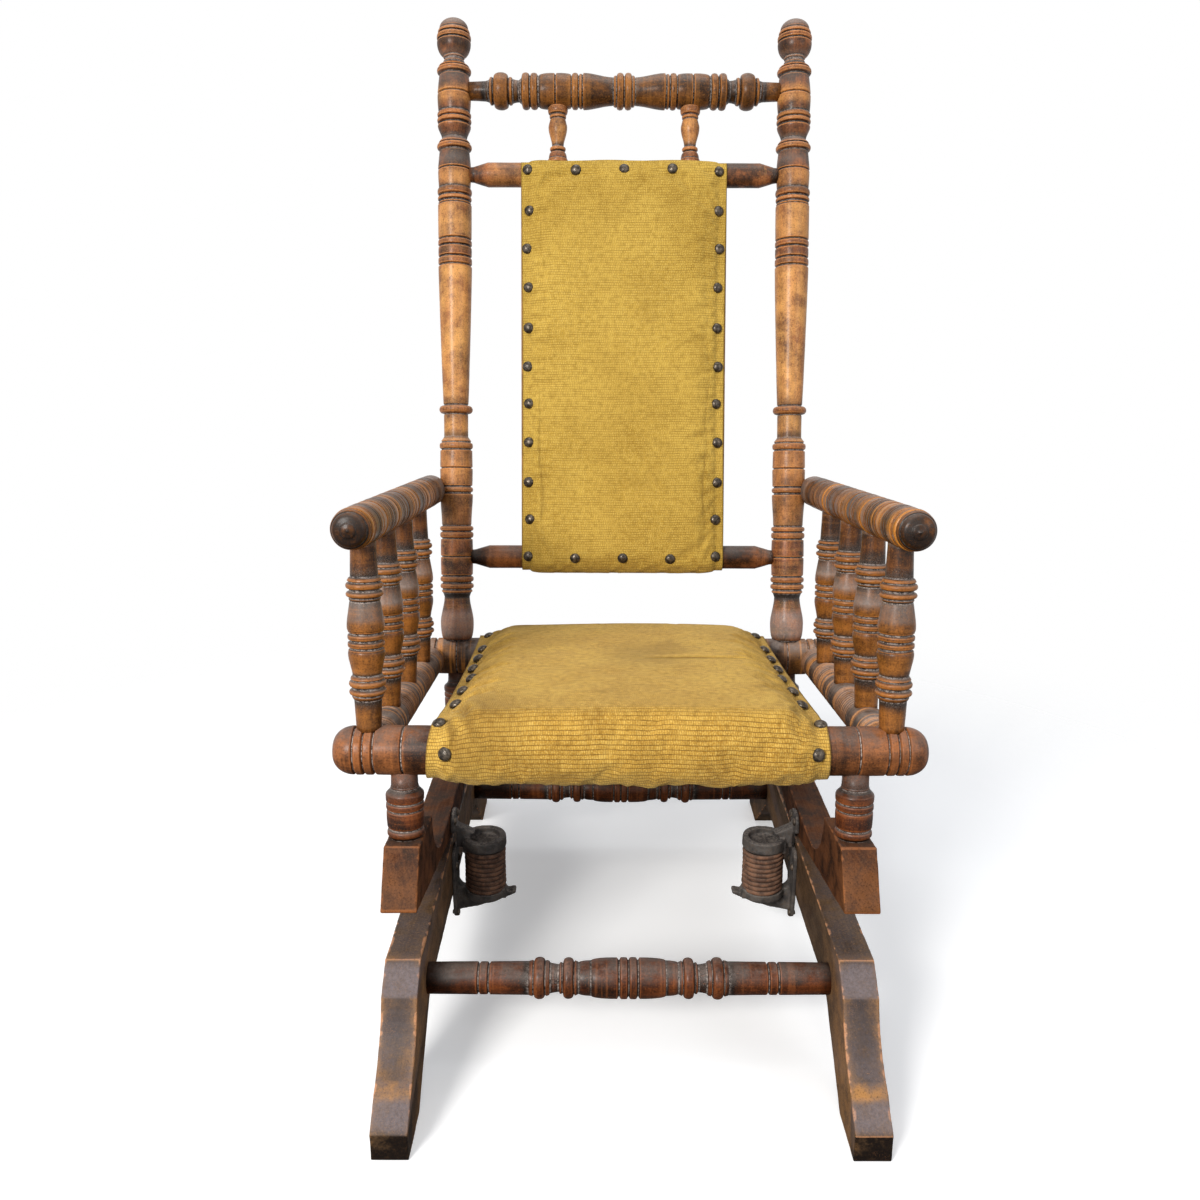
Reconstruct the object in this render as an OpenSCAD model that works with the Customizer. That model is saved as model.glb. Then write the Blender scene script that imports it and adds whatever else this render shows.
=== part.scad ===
// Platform rocker: a turned and sawn chair that rocks on a fixed base.
// Front of the chair faces -Y, the floor is Z = 0 and the origin is the
// middle of the outer box on the floor.

/* [Base] */
// Height of the base's level top edge above the floor
base_h = 132; // [120:1:150]
// Overall length of each base side, toe to toe
base_len = 688; // [640:2:740]
// Thickness of the sawn boards
board_t = 33; // [26:1:38]
// Depth of the base board under its top edge, over the arch
base_depth = 61; // [50:1:72]
// Height of a foot's upright toe
toe_h = 27; // [20:1:34]
// Diameter of the two base stretchers
stretcher_d = 39; // [32:1:44]

/* [Rocker] */
// How far the chair rocks forward, in degrees
front_rock_angle = 10; // [6:0.5:12]
// How far the chair rocks back, in degrees
back_rock_angle = 6.5; // [4:0.5:7]
// Distance of the rocking line behind the front rail's axis
rock_y = 210; // [200:1:220]
// Radius of the rocker's nose, where it bears on the base
nose_r = 16; // [10:1:24]
// Height of a front rocker block on its front face
block_h = 54; // [48:1:64]
// Height of the rocker's low middle above the base
waist_h = 38; // [32:1:44]

/* [Seat frame] */
// Diameter of the front and rear seat rails
rail_d = 45.8; // [42:0.2:50]
// Seat depth, from front rail axis to rear rail axis
seat_depth = 390; // [375:1:405]
// Backward slope of the seat at rest, in degrees
seat_slope = 6.07; // [5:0.1:7]
// How far legs, posts and sawn boards stand outside the seat cover's edge
leg_out = 28; // [26:0.5:34]
// How far side rails, arms and arm spindles stand outside the legs
side_out = 31; // [29:0.5:34]
// How far the seat rails run past the side rails
rail_out = 33; // [27:0.5:40]
// Diameter of the side rails
side_rail_d = 37; // [33:0.5:40]
// Length of a front leg between rail and rocker
front_leg_len = 61; // [56:1:66]
// Length of a rear leg between rail and rocker
rear_leg_len = 55; // [50:1:58]
// Largest diameter of the legs
leg_d = 36; // [32:1:40]

/* [Arms] */
// Height of the arm's axis above the seat rails' axes
arm_h = 209; // [195:1:230]
// Diameter of the arms
arm_d = 38; // [33:0.5:41]
// How far an arm reaches ahead of the front rail's axis
arm_front = 60; // [45:1:75]
// How far an arm's rear end passes the rear rail's axis
arm_rear = 36; // [26:1:46]
// Largest diameter of the arm spindles
spindle_d = 34; // [30:0.5:38]

/* [Back] */
// Length of a post, from the rear rail's axis to the tip of its finial
post_len = 784; // [740:2:830]
// Largest diameter of the posts
post_d = 42; // [38:0.5:46]
// Rake of the back against the seat, in degrees
back_rake = 6.13; // [5:0.1:7.5]
// Place of the crest rail along the posts
crest_s = 698; // [690:1:705]
// Largest diameter of the crest rail
crest_d = 43; // [38:0.5:46]
// Place of the upper back rail along the posts
upper_s = 597.5; // [592:0.5:602]
// Place of the lower back rail along the posts
lower_s = 126; // [116:1:132]
// Diameter of the two back rails
back_rail_d = 29; // [26:0.5:32]
// Distance of the two crest spindles from the middle
crest_spindle_x = 81.5; // [70:0.5:90]

/* [Upholstery] */
// Width of the seat cover
seat_w = 362; // [350:1:372]
// Thickness of the padded cover at its edges
pad_t = 7; // [5:0.5:9]
// Rise of the seat cover's crown above its edges
seat_crown = 11; // [6:0.5:14]
// Width of the back panel
panel_w = 252; // [230:1:270]
// Rise of the back panel's crown above its edges
back_crown = 5; // [3:0.5:8]
// Diameter of a nail's head
nail_d = 12; // [9:0.5:14]
// Height of a nail's head
nail_h = 3.6; // [2.5:0.1:5]

/* [Springs] */
// Outer diameter of a coil
coil_d = 46; // [42:0.5:50]
// Diameter of the spring wire
wire_d = 5.2; // [4.6:0.1:5.4]
// Rise of the coil in one turn
coil_pitch = 6.3; // [6.1:0.1:6.8]
// Turns of a coil
coil_turns = 7.5; // [6.5:1:8.5]
// Distance of a coil's axis from the inner face of the boards
coil_reach = 36; // [33:0.5:40]
// Drop from the base's top edge to a coil's lowest point
coil_drop = 60; // [58:1:64]

/* [Hidden] */
SPINDLES = 4;
SIDES = [-1, 1];
function side_name(s) = s < 0 ? "left" : "right";
function per_side(name) = [for (s = SIDES) str(name, "_", side_name(s))];

// Clearances
fit = 0.05;
soft_gap = 0.3;
over = 1;

// Places across the chair, out from the seat cover's edge
leg_x = seat_w/2 + leg_out;
side_x = leg_x + side_out;
rail_len = 2*(side_x + rail_out);

// Working radii
rail_r = rail_d/2;
side_rail_r = side_rail_d/2;
arm_r = arm_d/2;
post_r = post_d/2;
back_rail_r = back_rail_d/2;
nail_r = nail_d/2;
wire_r = wire_d/2;

// Round ends stand in sockets of their own diameter, sunk into the rail
socket_depth = rail_r*0.36;
foot_dip = rail_r*0.15;
spindle_end_d = spindle_d*0.7;
leg_end_d = leg_d*0.66;
leg_tenon_d = leg_d*0.45;
leg_tenon_len = leg_d*0.4;
post_end_d = post_d*0.62;
side_end_d = side_rail_d*0.62;
back_end_d = back_rail_d*0.64;
crest_end_d = crest_d*0.5;
crest_spindle_d = crest_d*0.57;
crest_spindle_end_d = crest_spindle_d*0.5;
stretcher_end_d = stretcher_d*0.74;
stretcher_tenon = board_t*0.4;

// Rest pose: the seat frame is tilted back about the front rail's axis, and
// the rocker's front flank starts on the base at the rocking line
function at_rest(p) = [
    p[0]*cos(seat_slope) + p[1]*sin(seat_slope),
    p[1]*cos(seat_slope) - p[0]*sin(seat_slope)
];
flank_margin_angle = 0.9;
front_flank_angle = front_rock_angle + flank_margin_angle;
back_flank_angle = back_rock_angle + flank_margin_angle;
leg_pad = leg_d*0.19;
block_front_y = -(leg_d/2 + leg_pad);
block_back_y = leg_d/2 + leg_d*0.94;
block_top_z = -(rail_r + front_leg_len);
rear_top_z = -(rail_r + rear_leg_len);
tip_slant = block_h*0.47;
front_tip = at_rest([block_front_y - tip_slant, block_top_z - block_h]);
contact_z = base_h + soft_gap;
tip_rise = (rock_y - front_tip[0])*tan(front_flank_angle);
seat_h = contact_z + tip_rise - front_tip[1];
function from_seat(p) = at_rest(p) + [0, seat_h];
rock_z = contact_z + nose_r;

// The outer box: from the front toe to the back of the finials
base_mid = seat_depth*0.482;
toe_front = base_mid - base_len/2;
finial_r = post_r*1.004;
finial_s = post_len - post_r*0.69;
function from_back(s, out) = from_seat([seat_depth + s*sin(back_rake) + out*cos(back_rake),
                                        s*cos(back_rake) - out*sin(back_rake)]);
box_back = max(from_back(finial_s, finial_r)[0], base_mid + base_len/2);
origin_y = (toe_front + box_back)/2;

module in_floor_frame() { translate([0, -origin_y, 0]) children(); }
module in_seat_frame() {
    in_floor_frame() translate([0, 0, seat_h]) rotate([-seat_slope, 0, 0]) children();
}
module in_back_frame() {
    in_seat_frame() translate([0, seat_depth, 0]) rotate([-back_rake, 0, 0]) children();
}

// Turnings are lists of stretches: [length, start radius, end radius, swell],
// each a share of the piece. A swell bows the stretch by half an ellipse.
arc_steps = 6;
function total(list, i = 0) = i == len(list) ? 0 : list[i][0] + total(list, i + 1);
function reach(list, n) = total([for (i = [0:1:n - 1]) list[i]]);
function stretch(part, z, scale_z, r) =
    let (steps = part[3] == 0 ? 1 : arc_steps)
    [for (i = [0:steps]) let (a = 180*i/steps, t = (1 - cos(a))/2)
        [r*(part[1] + (part[2] - part[1])*t + part[3]*sin(a)), z + scale_z*part[0]*t]];
function outline(list, length, r) =
    let (scale_z = length/total(list))
    [for (i = [0:len(list) - 1]) each stretch(list[i], scale_z*reach(list, i), scale_z, r)];

module turned(list, length, d, low_end = [0, 0], high_end = [0, 0]) {
    rotate_extrude($fn = 48) polygon(concat(
        [[0, -low_end[1]], [low_end[0]/2, -low_end[1]], [low_end[0]/2, 0]],
        outline(list, length, d/2),
        [[high_end[0]/2, length], [high_end[0]/2, length + high_end[1]], [0, length + high_end[1]]]
    ));
}

module socket(d, depth, start = over) {
    translate([0, 0, -depth - fit]) cylinder(d = d + 2*fit, h = depth + fit + start, $fn = 48);
}

function same(list, n) = [for (i = [1:n]) each list];
function mirrored(list) = [for (i = [len(list) - 1:-1:0]) let (p = list[i]) [p[0], p[2], p[1], p[3]]];

// Share tables of the turnings
scribe_shares = [[0.9, 0.96, 0.9, 0], [0.9, 0.9, 0.96, 0]];
rail_end_shares = [
    [14, 0.55, 0.97, 0.2], [17, 0.98, 0.99, 0], [1.4, 0.99, 0.93, 0], [1.4, 0.93, 0.99, 0],
    [7.5, 0.99, 0.99, 0.01], [1.2, 0.99, 0.94, 0], [1.2, 0.94, 0.99, 0],
    [7, 0.99, 0.99, 0.01], [1.2, 0.99, 0.94, 0], [1.2, 0.94, 0.99, 0],
    [27, 0.99, 1, 0], [1.2, 1, 0.94, 0], [1.2, 0.94, 1, 0]
];
rail_shares = concat(rail_end_shares, [[381, 1, 1, 0]], mirrored(rail_end_shares));
side_ring_shares = [[5, 0.92, 0.92, 0.06]];
side_barrel_shares = [[46, 0.97, 0.97, 0.03]];
side_end_shares = concat(
    [[4, 0.62, 0.62, 0], [5, 0.7, 0.86, 0.04]], same(side_ring_shares, 4), [[2, 0.9, 0.95, 0]]
);
side_rail_shares = concat(
    side_end_shares, side_barrel_shares, same(side_ring_shares, 10), side_barrel_shares,
    same(side_ring_shares, 10), side_barrel_shares, mirrored(side_end_shares)
);
double_bead_shares = [
    [2.2, 0.8, 0.8, 0], [8, 0.86, 0.86, 0.13], [1, 0.84, 0.84, 0], [8, 0.86, 0.86, 0.13],
    [2.2, 0.8, 0.76, 0]
];
spindle_shares = concat(
    [[4, 0.7, 0.7, 0], [29, 0.71, 0.8, 0]], double_bead_shares,
    [[4, 0.74, 0.76, -0.03], [22, 0.78, 0.95, 0.06]],
    [[1.5, 0.89, 0.89, 0]], same([[5.2, 0.91, 0.91, 0.08]], 3), [[1.5, 0.89, 0.89, 0]],
    [[25, 0.95, 0.8, 0.06], [4, 0.76, 0.74, -0.02]], double_bead_shares,
    [[26, 0.76, 0.72, 0], [4, 0.7, 0.7, 0]]
);
arm_cove_shares = [
    [2, 0.98, 0.98, 0], [6, 0.92, 0.92, -0.07], [2.4, 0.97, 0.97, 0.02],
    [6, 0.92, 0.92, -0.07], [2, 0.98, 0.98, 0]
];
arm_barrel_shares = concat(
    [[19, 0.94, 0.99, 0.02]], scribe_shares, [[38, 0.99, 0.98, 0.03]], scribe_shares,
    [[17, 0.97, 0.94, 0.01]]
);
arm_shares = concat(
    [[1.5, 0.12, 0.42, 0.06], [2.5, 0.42, 0.4, -0.02], [9, 0.44, 0.93, 0.2]],
    [[1.6, 0.93, 0.9, 0], [10, 0.96, 0.98, 0.02], [2.4, 0.94, 0.9, -0.03]],
    [[21, 0.97, 0.97, 0.03], [2, 0.98, 0.98, 0], [9, 0.92, 0.92, -0.08], [2, 0.98, 0.98, 0]],
    arm_barrel_shares, arm_cove_shares, arm_barrel_shares, arm_cove_shares,
    arm_barrel_shares, arm_cove_shares,
    [[30, 0.95, 0.97, 0.02]], scribe_shares, [[34, 0.97, 0.96, 0.02]], scribe_shares,
    [[30, 0.95, 0.9, 0], [13, 0.88, 0.4, 0.12]]
);
post_ring_shares = [[6.2, 0.91, 0.91, 0.07]];
post_line_shares = [[1.2, 0.96, 0.9, 0], [1.2, 0.9, 0.96, 0]];
finial_shares = [
    [5, 0.88, 0.6, 0], [10, 0.5, 0.42, -0.03], [23, 0.42, 0.97, 0.19],
    [1, 0.97, 0.93, 0], [1, 0.93, 0.95, 0], [15.5, 0.93, 0, 0.27]
];
post_shares = concat(
    [[4, 0.62, 0.62, 0], [18, 0.7, 0.97, 0.1], [17, 0.97, 0.92, 0.02], [18.5, 0.92, 0.74, -0.03]],
    [[3.8, 0.76, 0.84, 0]], same(post_ring_shares, 3), [[2, 0.93, 0.94, 0]],
    [[23, 0.95, 0.95, 0.01]], post_line_shares, [[20, 0.95, 0.95, 0.01]],
    same([[5.9, 0.91, 0.91, 0.07]], 3), [[39, 0.82, 0.92, -0.02]],
    [[7.5, 0.92, 0.92, 0.06], [24, 0.95, 0.95, 0.01]], post_line_shares,
    [[22, 0.95, 0.96, 0], [6, 0.92, 0.92, 0.07], [8, 0.93, 0.73, -0.05], [30.5, 0.72, 0.73, 0]],
    [[1, 0.78, 0.82, 0], [8.5, 0.83, 0.83, 0.1], [172, 0.75, 1, 0.02]],
    [[3.7, 0.98, 0.98, 0]], post_line_shares, [[6.4, 0.98, 0.98, 0]], post_line_shares,
    [[12.2, 0.98, 0.98, 0]], post_line_shares, [[5, 0.98, 0.98, 0]], post_line_shares,
    [[40, 0.97, 0.98, 0]], same([[6.6, 0.91, 0.91, 0.08]], 3),
    [[20, 0.93, 0.95, 0.02]], post_line_shares, [[17, 0.95, 0.93, 0.02]],
    [[7.5, 0.92, 0.92, 0.08], [3, 0.9, 0.84, 0], [25.6, 0.83, 0.88, -0.08]],
    same([[7.8, 0.92, 0.92, 0.06]], 2), [[20, 0.92, 0.94, 0.02]], post_line_shares,
    [[16, 0.94, 0.93, 0.02], [6, 0.88, 0.88, 0.05]], finial_shares
);
leg_shares = [
    [5, 0.66, 0.66, 0], [8, 0.66, 0.69, 0], [6, 0.7, 0.94, 0.03], [7, 0.93, 0.93, 0.03], [1.2, 0.93, 0.86, 0],
    [1.2, 0.86, 0.93, 0], [5.5, 0.93, 0.93, 0.03], [1.2, 0.93, 0.86, 0], [1.2, 0.86, 0.93, 0],
    [17, 0.93, 0.95, 0.03], [1.2, 0.95, 0.88, 0], [1.2, 0.88, 0.95, 0], [6, 0.94, 0.94, 0.05]
];
bar_mid_shares = [
    [24, 0.9, 0.97, 0], [1.2, 0.97, 0.9, 0], [1.2, 0.9, 0.97, 0], [7, 0.98, 0.98, 0.01],
    [1.2, 0.97, 0.9, 0], [1.2, 0.9, 0.97, 0], [7, 0.98, 0.98, 0.01],
    [1.2, 0.97, 0.9, 0], [1.2, 0.9, 0.97, 0], [24, 0.97, 0.9, 0]
];
stretcher_half_shares = [
    [46, 0.74, 0.78, 0], [1.2, 0.78, 0.7, 0], [7, 0.76, 0.76, 0.02], [1.2, 0.7, 0.78, 0],
    [36, 0.78, 0.82, 0], [5, 0.84, 0.84, 0.04], [10, 0.9, 0.9, 0.1], [5, 0.84, 0.78, -0.02],
    [8, 0.72, 0.8, -0.05], [11, 0.88, 0.88, 0.12], [5, 0.8, 0.76, 0], [14, 0.78, 0.9, 0]
];
stretcher_shares = concat(stretcher_half_shares, bar_mid_shares, mirrored(stretcher_half_shares));
crest_half_shares = [
    [26, 0.5, 0.5, 0], [8, 0.5, 0.78, -0.04], [15, 0.84, 0.84, 0.16], [6, 0.74, 0.62, -0.04],
    [5, 0.68, 0.68, 0.06], [5, 0.6, 0.74, -0.04], [8, 0.88, 0.88, 0.1], [8, 0.88, 0.88, 0.1],
    [1.5, 0.8, 0.84, 0], [17, 0.84, 0.88, 0.03], [1.2, 0.86, 0.8, 0], [1.2, 0.8, 0.86, 0],
    [17, 0.88, 0.86, 0.03], [5.5, 0.88, 0.88, 0.06], [5.5, 0.88, 0.88, 0.06],
    [37, 0.94, 0.8, -0.03]
];
crest_shares = concat(
    crest_half_shares, same([[8.5, 0.88, 0.88, 0.1]], 3), mirrored(crest_half_shares)
);
back_rail_shares = [
    [5, 0.64, 0.64, 0], [14, 0.7, 1, 0], [344, 1, 1, 0], [14, 1, 0.7, 0], [5, 0.64, 0.64, 0]
];
crest_spindle_shares = [
    [4.2, 0.5, 0.5, 0], [4, 0.62, 0.78, 0.08], [2, 0.66, 0.6, 0], [24, 0.56, 0.84, 0.06],
    [2, 0.76, 0.76, 0], [5, 0.86, 0.86, 0.14], [3, 0.7, 0.7, 0], [4.2, 0.5, 0.5, 0]
];

// Sawn boards lie in the YZ plane, centred on leg_x
module board(s, points) {
    in_floor_frame() translate([s*leg_x - board_t/2, 0, 0])
        rotate([90, 0, 90]) linear_extrude(board_t) polygon(points);
}
function arc(centre, r, from, to, steps = arc_steps) =
    [for (i = [0:steps]) let (a = from + (to - from)*i/steps) centre + r*[cos(a), sin(a)]];
function bowed(a, b, sag, steps = arc_steps) =
    let (along = b - a, across = [-along[1], along[0]]/norm(along))
    [for (i = [1:steps - 1]) let (t = i/steps) a + along*t + across*sag*4*t*(1 - t)];

// Base side, drawn from the sole forward, over the top and mirrored behind
sole_len = base_len*0.084;
shoulder_in = base_len*0.148;
facet_in = base_len*0.11;
facet_drop = base_h*0.17;
heel_in = base_len*0.205;
calf_top = [toe_front + facet_in, base_h - facet_drop];
calf_foot = [toe_front + base_len*0.036, base_h*0.37];
calf_sag = base_len*0.011;
base_half = concat(
    [[base_mid, base_h - base_depth - base_depth*0.03]],
    [[toe_front + heel_in + base_len*0.05, base_h - base_depth], [toe_front + heel_in, base_h*0.5]],
    [[toe_front + sole_len, 0], [toe_front, 0], [toe_front, toe_h]],
    [calf_foot], bowed(calf_foot, calf_top, -calf_sag), [calf_top],
    [[toe_front + shoulder_in, base_h]]
);
function flip_y(points, mid) =
    [for (i = [len(points) - 1:-1:0]) [2*mid - points[i][0], points[i][1]]];
stretcher_y = toe_front + base_len*0.198;
stretcher_z = base_h*0.67;
inner_x = leg_x - board_t/2;

module base_side(s) {
    color("#5a3d2b") difference() {
        board(s, concat(base_half, flip_y([for (i = [1:len(base_half) - 1]) base_half[i]], base_mid)));
        for (y = [stretcher_y, 2*base_mid - stretcher_y])
            in_floor_frame() translate([s*inner_x, y, stretcher_z]) rotate([0, -s*90, 0])
                socket(stretcher_end_d, stretcher_tenon);
    }
}

module base_stretcher(y) {
    length = 2*inner_x;
    color("#4a2c20") in_floor_frame() translate([-inner_x, y, stretcher_z]) rotate([0, 90, 0])
        turned(stretcher_shares, length, stretcher_d,
               [stretcher_end_d, stretcher_tenon], [stretcher_end_d, stretcher_tenon]);
}

// Rocker: leg blocks at both ends, a low waist between two coves, and an
// underside of two flanks that meet in a round nose on the rocking line
waist_z = base_h + waist_h;
block_back = from_seat([block_back_y, block_top_z]);
rear_back = from_seat([seat_depth - block_back_y, rear_top_z]);
front_cove_r = block_back[1] - waist_z;
rear_cove_r = rear_back[1] - waist_z;
rear_tip_y = from_seat([seat_depth - block_front_y + tip_slant, rear_top_z])[0];
function flank_point(y, angle) = [y, contact_z + abs(y - rock_y)*tan(angle)];
rocker_points = concat(
    [flank_point(front_tip[0], front_flank_angle)],
    arc([rock_y, rock_z], nose_r, 270 - front_flank_angle, 270 + back_flank_angle, 8),
    [flank_point(rear_tip_y, back_flank_angle)],
    [from_seat([seat_depth - block_front_y, rear_top_z]), rear_back],
    arc([rear_back[0] - rear_cove_r, rear_back[1]], rear_cove_r, 360, 270),
    arc([block_back[0] + front_cove_r, block_back[1]], front_cove_r, 270, 180),
    [from_seat([block_front_y, block_top_z])]
);

module rocker(s) {
    color("#6b3f28") difference() {
        board(s, rocker_points);
        in_seat_frame() translate([s*leg_x, 0, block_top_z]) socket(leg_tenon_d, leg_tenon_len);
        in_seat_frame() translate([s*leg_x, seat_depth, rear_top_z])
            socket(leg_tenon_d, leg_tenon_len);
    }
}

module leg(s, y, length) {
    color("#7a4526") in_seat_frame() translate([s*leg_x, y, -rail_r + foot_dip])
        mirror([0, 0, 1]) turned(leg_shares, length + foot_dip, leg_d,
            [leg_end_d, socket_depth - foot_dip], [leg_tenon_d, leg_tenon_len]);
}

module rail_sockets(s, back) {
    translate([s*leg_x, 0, -rail_r]) mirror([0, 0, 1]) socket(leg_end_d, socket_depth);
    translate([s*side_x, back ? -rail_r : rail_r, 0]) rotate([back ? 90 : -90, 0, 0])
        socket(side_end_d, socket_depth);
}

module seat_rail() {
    translate([-rail_len/2, 0, 0]) rotate([0, 90, 0]) turned(rail_shares, rail_len, rail_d);
}

module front_rail() {
    color("#8a4a25") in_seat_frame() difference() {
        seat_rail();
        for (s = SIDES) {
            rail_sockets(s, false);
            translate([s*side_x, 0, rail_r]) socket(spindle_end_d, socket_depth);
        }
    }
}

module rear_rail() {
    color("#7a5546") in_seat_frame() translate([0, seat_depth, 0]) difference() {
        seat_rail();
        for (s = SIDES) {
            rail_sockets(s, true);
            translate([s*leg_x, 0, 0]) rotate([-back_rake, 0, 0]) translate([0, 0, rail_r])
                socket(post_end_d, socket_depth);
        }
    }
}

// Arm spindles stand at even steps from the front rail, and each arm is
// hollowed where it lies against a post
spindle_step = seat_depth/SPINDLES;
side_start = rail_r - foot_dip;
side_len = seat_depth - 2*side_start;

module side_rail(s) {
    color("#80614f") in_seat_frame() difference() {
        translate([s*side_x, side_start, 0]) rotate([-90, 0, 0])
            turned(side_rail_shares, side_len, side_rail_d,
                   [side_end_d, socket_depth - foot_dip], [side_end_d, socket_depth - foot_dip]);
        for (i = [1:SPINDLES - 1]) translate([s*side_x, i*spindle_step, side_rail_r])
            socket(spindle_end_d, socket_depth);
    }
}

module arm_spindle(s, i) {
    foot_z = (i == 0 ? rail_r : side_rail_r) - foot_dip;
    head_z = arm_h - arm_r + foot_dip;
    color("#9a5a28") in_seat_frame() translate([s*side_x, i*spindle_step, foot_z])
        turned(spindle_shares, head_z - foot_z, spindle_d,
               [spindle_end_d, socket_depth - foot_dip], [spindle_end_d, socket_depth - foot_dip]);
}

module arm(s) {
    color("#8d4f22") in_seat_frame() difference() {
        translate([s*side_x, -arm_front, arm_h]) rotate([-90, 0, 0])
            turned(arm_shares, arm_front + seat_depth + arm_rear, arm_d);
        for (i = [0:SPINDLES - 1])
            translate([s*side_x, i*spindle_step, arm_h - arm_r]) mirror([0, 0, 1])
                socket(spindle_end_d, socket_depth);
        translate([s*leg_x, seat_depth, 0]) rotate([-back_rake, 0, 0]) translate([0, 0, arm_h - arm_d])
            cylinder(r = post_r + fit, h = 2*arm_d, $fn = 64);
    }
}

// Posts lean back from the rear rail; the cross rails enter their inner sides
rail_tenon = post_r*0.5;
post_inner = leg_x - post_r*0.9;
bars = [[crest_s, crest_end_d], [upper_s, back_end_d], [lower_s, back_end_d]];

module post(s) {
    color("#86502f") in_back_frame() difference() {
        translate([s*leg_x, 0, side_start])
            turned(post_shares, post_len - side_start, post_d,
                   [post_end_d, socket_depth - foot_dip]);
        for (bar = bars) translate([s*post_inner, 0, bar[0]]) rotate([0, -s*90, 0])
            socket(bar[1], rail_tenon, post_r);
    }
}

module cross_bar(list, s, d, end_d) {
    in_back_frame() translate([-post_inner, 0, s]) rotate([0, 90, 0])
        turned(list, 2*post_inner, d, [end_d, rail_tenon], [end_d, rail_tenon]);
}

crest_foot_r = crest_d*0.43;
spindle_dip = crest_d*0.12;

module crest_spindle_socket(z, up) {
    for (s = SIDES) translate([s*crest_spindle_x, 0, z]) mirror([0, 0, up ? 0 : 1])
        socket(crest_spindle_end_d, spindle_dip*2);
}

module crest_rail() {
    color("#8a5230") difference() {
        cross_bar(crest_shares, crest_s, crest_d, crest_end_d);
        in_back_frame() crest_spindle_socket(crest_s - crest_foot_r, false);
    }
}

module upper_back_rail() {
    color("#8a5230") difference() {
        cross_bar(back_rail_shares, upper_s, back_rail_d, back_end_d);
        in_back_frame() crest_spindle_socket(upper_s + back_rail_r, true);
    }
}

module lower_back_rail() {
    color("#8a5230") cross_bar(back_rail_shares, lower_s, back_rail_d, back_end_d);
}

module crest_spindle(s) {
    low = upper_s + back_rail_r - spindle_dip;
    high = crest_s - crest_foot_r + spindle_dip;
    color("#8a5230") in_back_frame() translate([s*crest_spindle_x, 0, low])
        turned(crest_spindle_shares, high - low, crest_spindle_d,
               [crest_spindle_end_d, spindle_dip], [crest_spindle_end_d, spindle_dip]);
}

// Hidden seat frame: two battens between the rails, webbing across them
batten_w = seat_w*0.066;
batten_h = rail_d*0.5;
batten_x = seat_w/2 - batten_w*0.6 - pad_t;
strap_t = rail_d*0.035;
strap_w = seat_depth*0.13;
STRAPS = 5;
batten_top = rail_r - strap_t - soft_gap;

module seat_batten(s) {
    run = seat_depth - 2*rail_r*0.62;
    color("#8f6a48") in_seat_frame() difference() {
        translate([s*batten_x - batten_w/2, rail_r*0.62, batten_top - batten_h])
            cube([batten_w, run, batten_h]);
        for (y = [0, seat_depth]) translate([s*batten_x, y, 0]) rotate([0, 90, 0])
            cylinder(r = rail_r + fit, h = batten_w + 2*over, center = true, $fn = 64);
    }
}

module seat_webbing() {
    gap = (seat_depth - 2*rail_r - STRAPS*strap_w)/(STRAPS + 1);
    color("#b09a72") in_seat_frame() for (i = [0:STRAPS - 1])
        translate([-batten_x - batten_w/2, rail_r + gap + i*(strap_w + gap), batten_top])
            cube([2*batten_x + batten_w, strap_w, strap_t]);
}

// Seat cover: one padded sheet wrapped round both rails. Its section is the
// same loop of points at every station across the chair, and the crown and
// the drawn-in sides swell that loop.
wrap_steps = 9;
run_steps = 8;
cover_steps = 16;
front_wrap_end = 268;
rear_wrap_end = -32;
wrap_r = (rail_r + soft_gap)/cos((front_wrap_end - 90)/wrap_steps/2);
function crown(u) = sqrt(1 - pow(abs(u), 3));
function wave(t) = sin(180*t);
function cover_path(r, rise) = concat(
    [for (i = [0:wrap_steps]) let (a = front_wrap_end + (90 - front_wrap_end)*i/wrap_steps)
        [r*cos(a), r*sin(a) + rise*pow(i/wrap_steps, 4)*0.3]],
    [for (i = [1:run_steps - 1]) let (t = i/run_steps)
        [seat_depth*t, r + rise*(0.3 + 0.7*pow(wave(t), 0.6))]],
    [for (i = [0:wrap_steps]) let (a = 90 + (rear_wrap_end - 90)*i/wrap_steps)
        [seat_depth + r*cos(a), r*sin(a) + rise*pow(1 - i/wrap_steps, 4)*0.3]]
);
function turned_back(list) = [for (i = [len(list) - 1:-1:0]) list[i]];
function cover_loop(u) = concat(
    cover_path(wrap_r + pad_t*(0.35 + 0.65*crown(u)), seat_crown*crown(u)),
    turned_back(cover_path(wrap_r, 0))
);
seat_draw = seat_w*0.012;
function cover_half_w(y) = seat_w/2 - seat_draw*wave(max(0, min(1, y/seat_depth)));

// A closed skin over equal loops of points, ring after ring
module skin(rings) {
    n = len(rings[0]);
    m = len(rings);
    polyhedron(
        [for (ring = rings) each ring],
        concat(
            [for (i = [0:m - 2]) for (j = [0:n - 1]) let (k = (j + 1)%n)
                [i*n + j, i*n + k, (i + 1)*n + k]],
            [for (i = [0:m - 2]) for (j = [0:n - 1]) let (k = (j + 1)%n)
                [i*n + j, (i + 1)*n + k, (i + 1)*n + j]],
            [for (j = [0:n/2 - 2]) [j, n - 1 - j, n - 2 - j]],
            [for (j = [0:n/2 - 2]) [j, n - 2 - j, j + 1]],
            [for (j = [0:n/2 - 2]) let (b = (m - 1)*n) [b + j, b + n - 2 - j, b + n - 1 - j]],
            [for (j = [0:n/2 - 2]) let (b = (m - 1)*n) [b + j, b + j + 1, b + n - 2 - j]]
        )
    );
}

module seat_cover() {
    color("#b8962e") in_seat_frame() skin([
        for (i = [0:cover_steps]) let (u = -cos(180*i/cover_steps))
            [for (p = cover_loop(u)) [u*cover_half_w(p[0]), p[0], p[1]]]
    ]);
}

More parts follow.
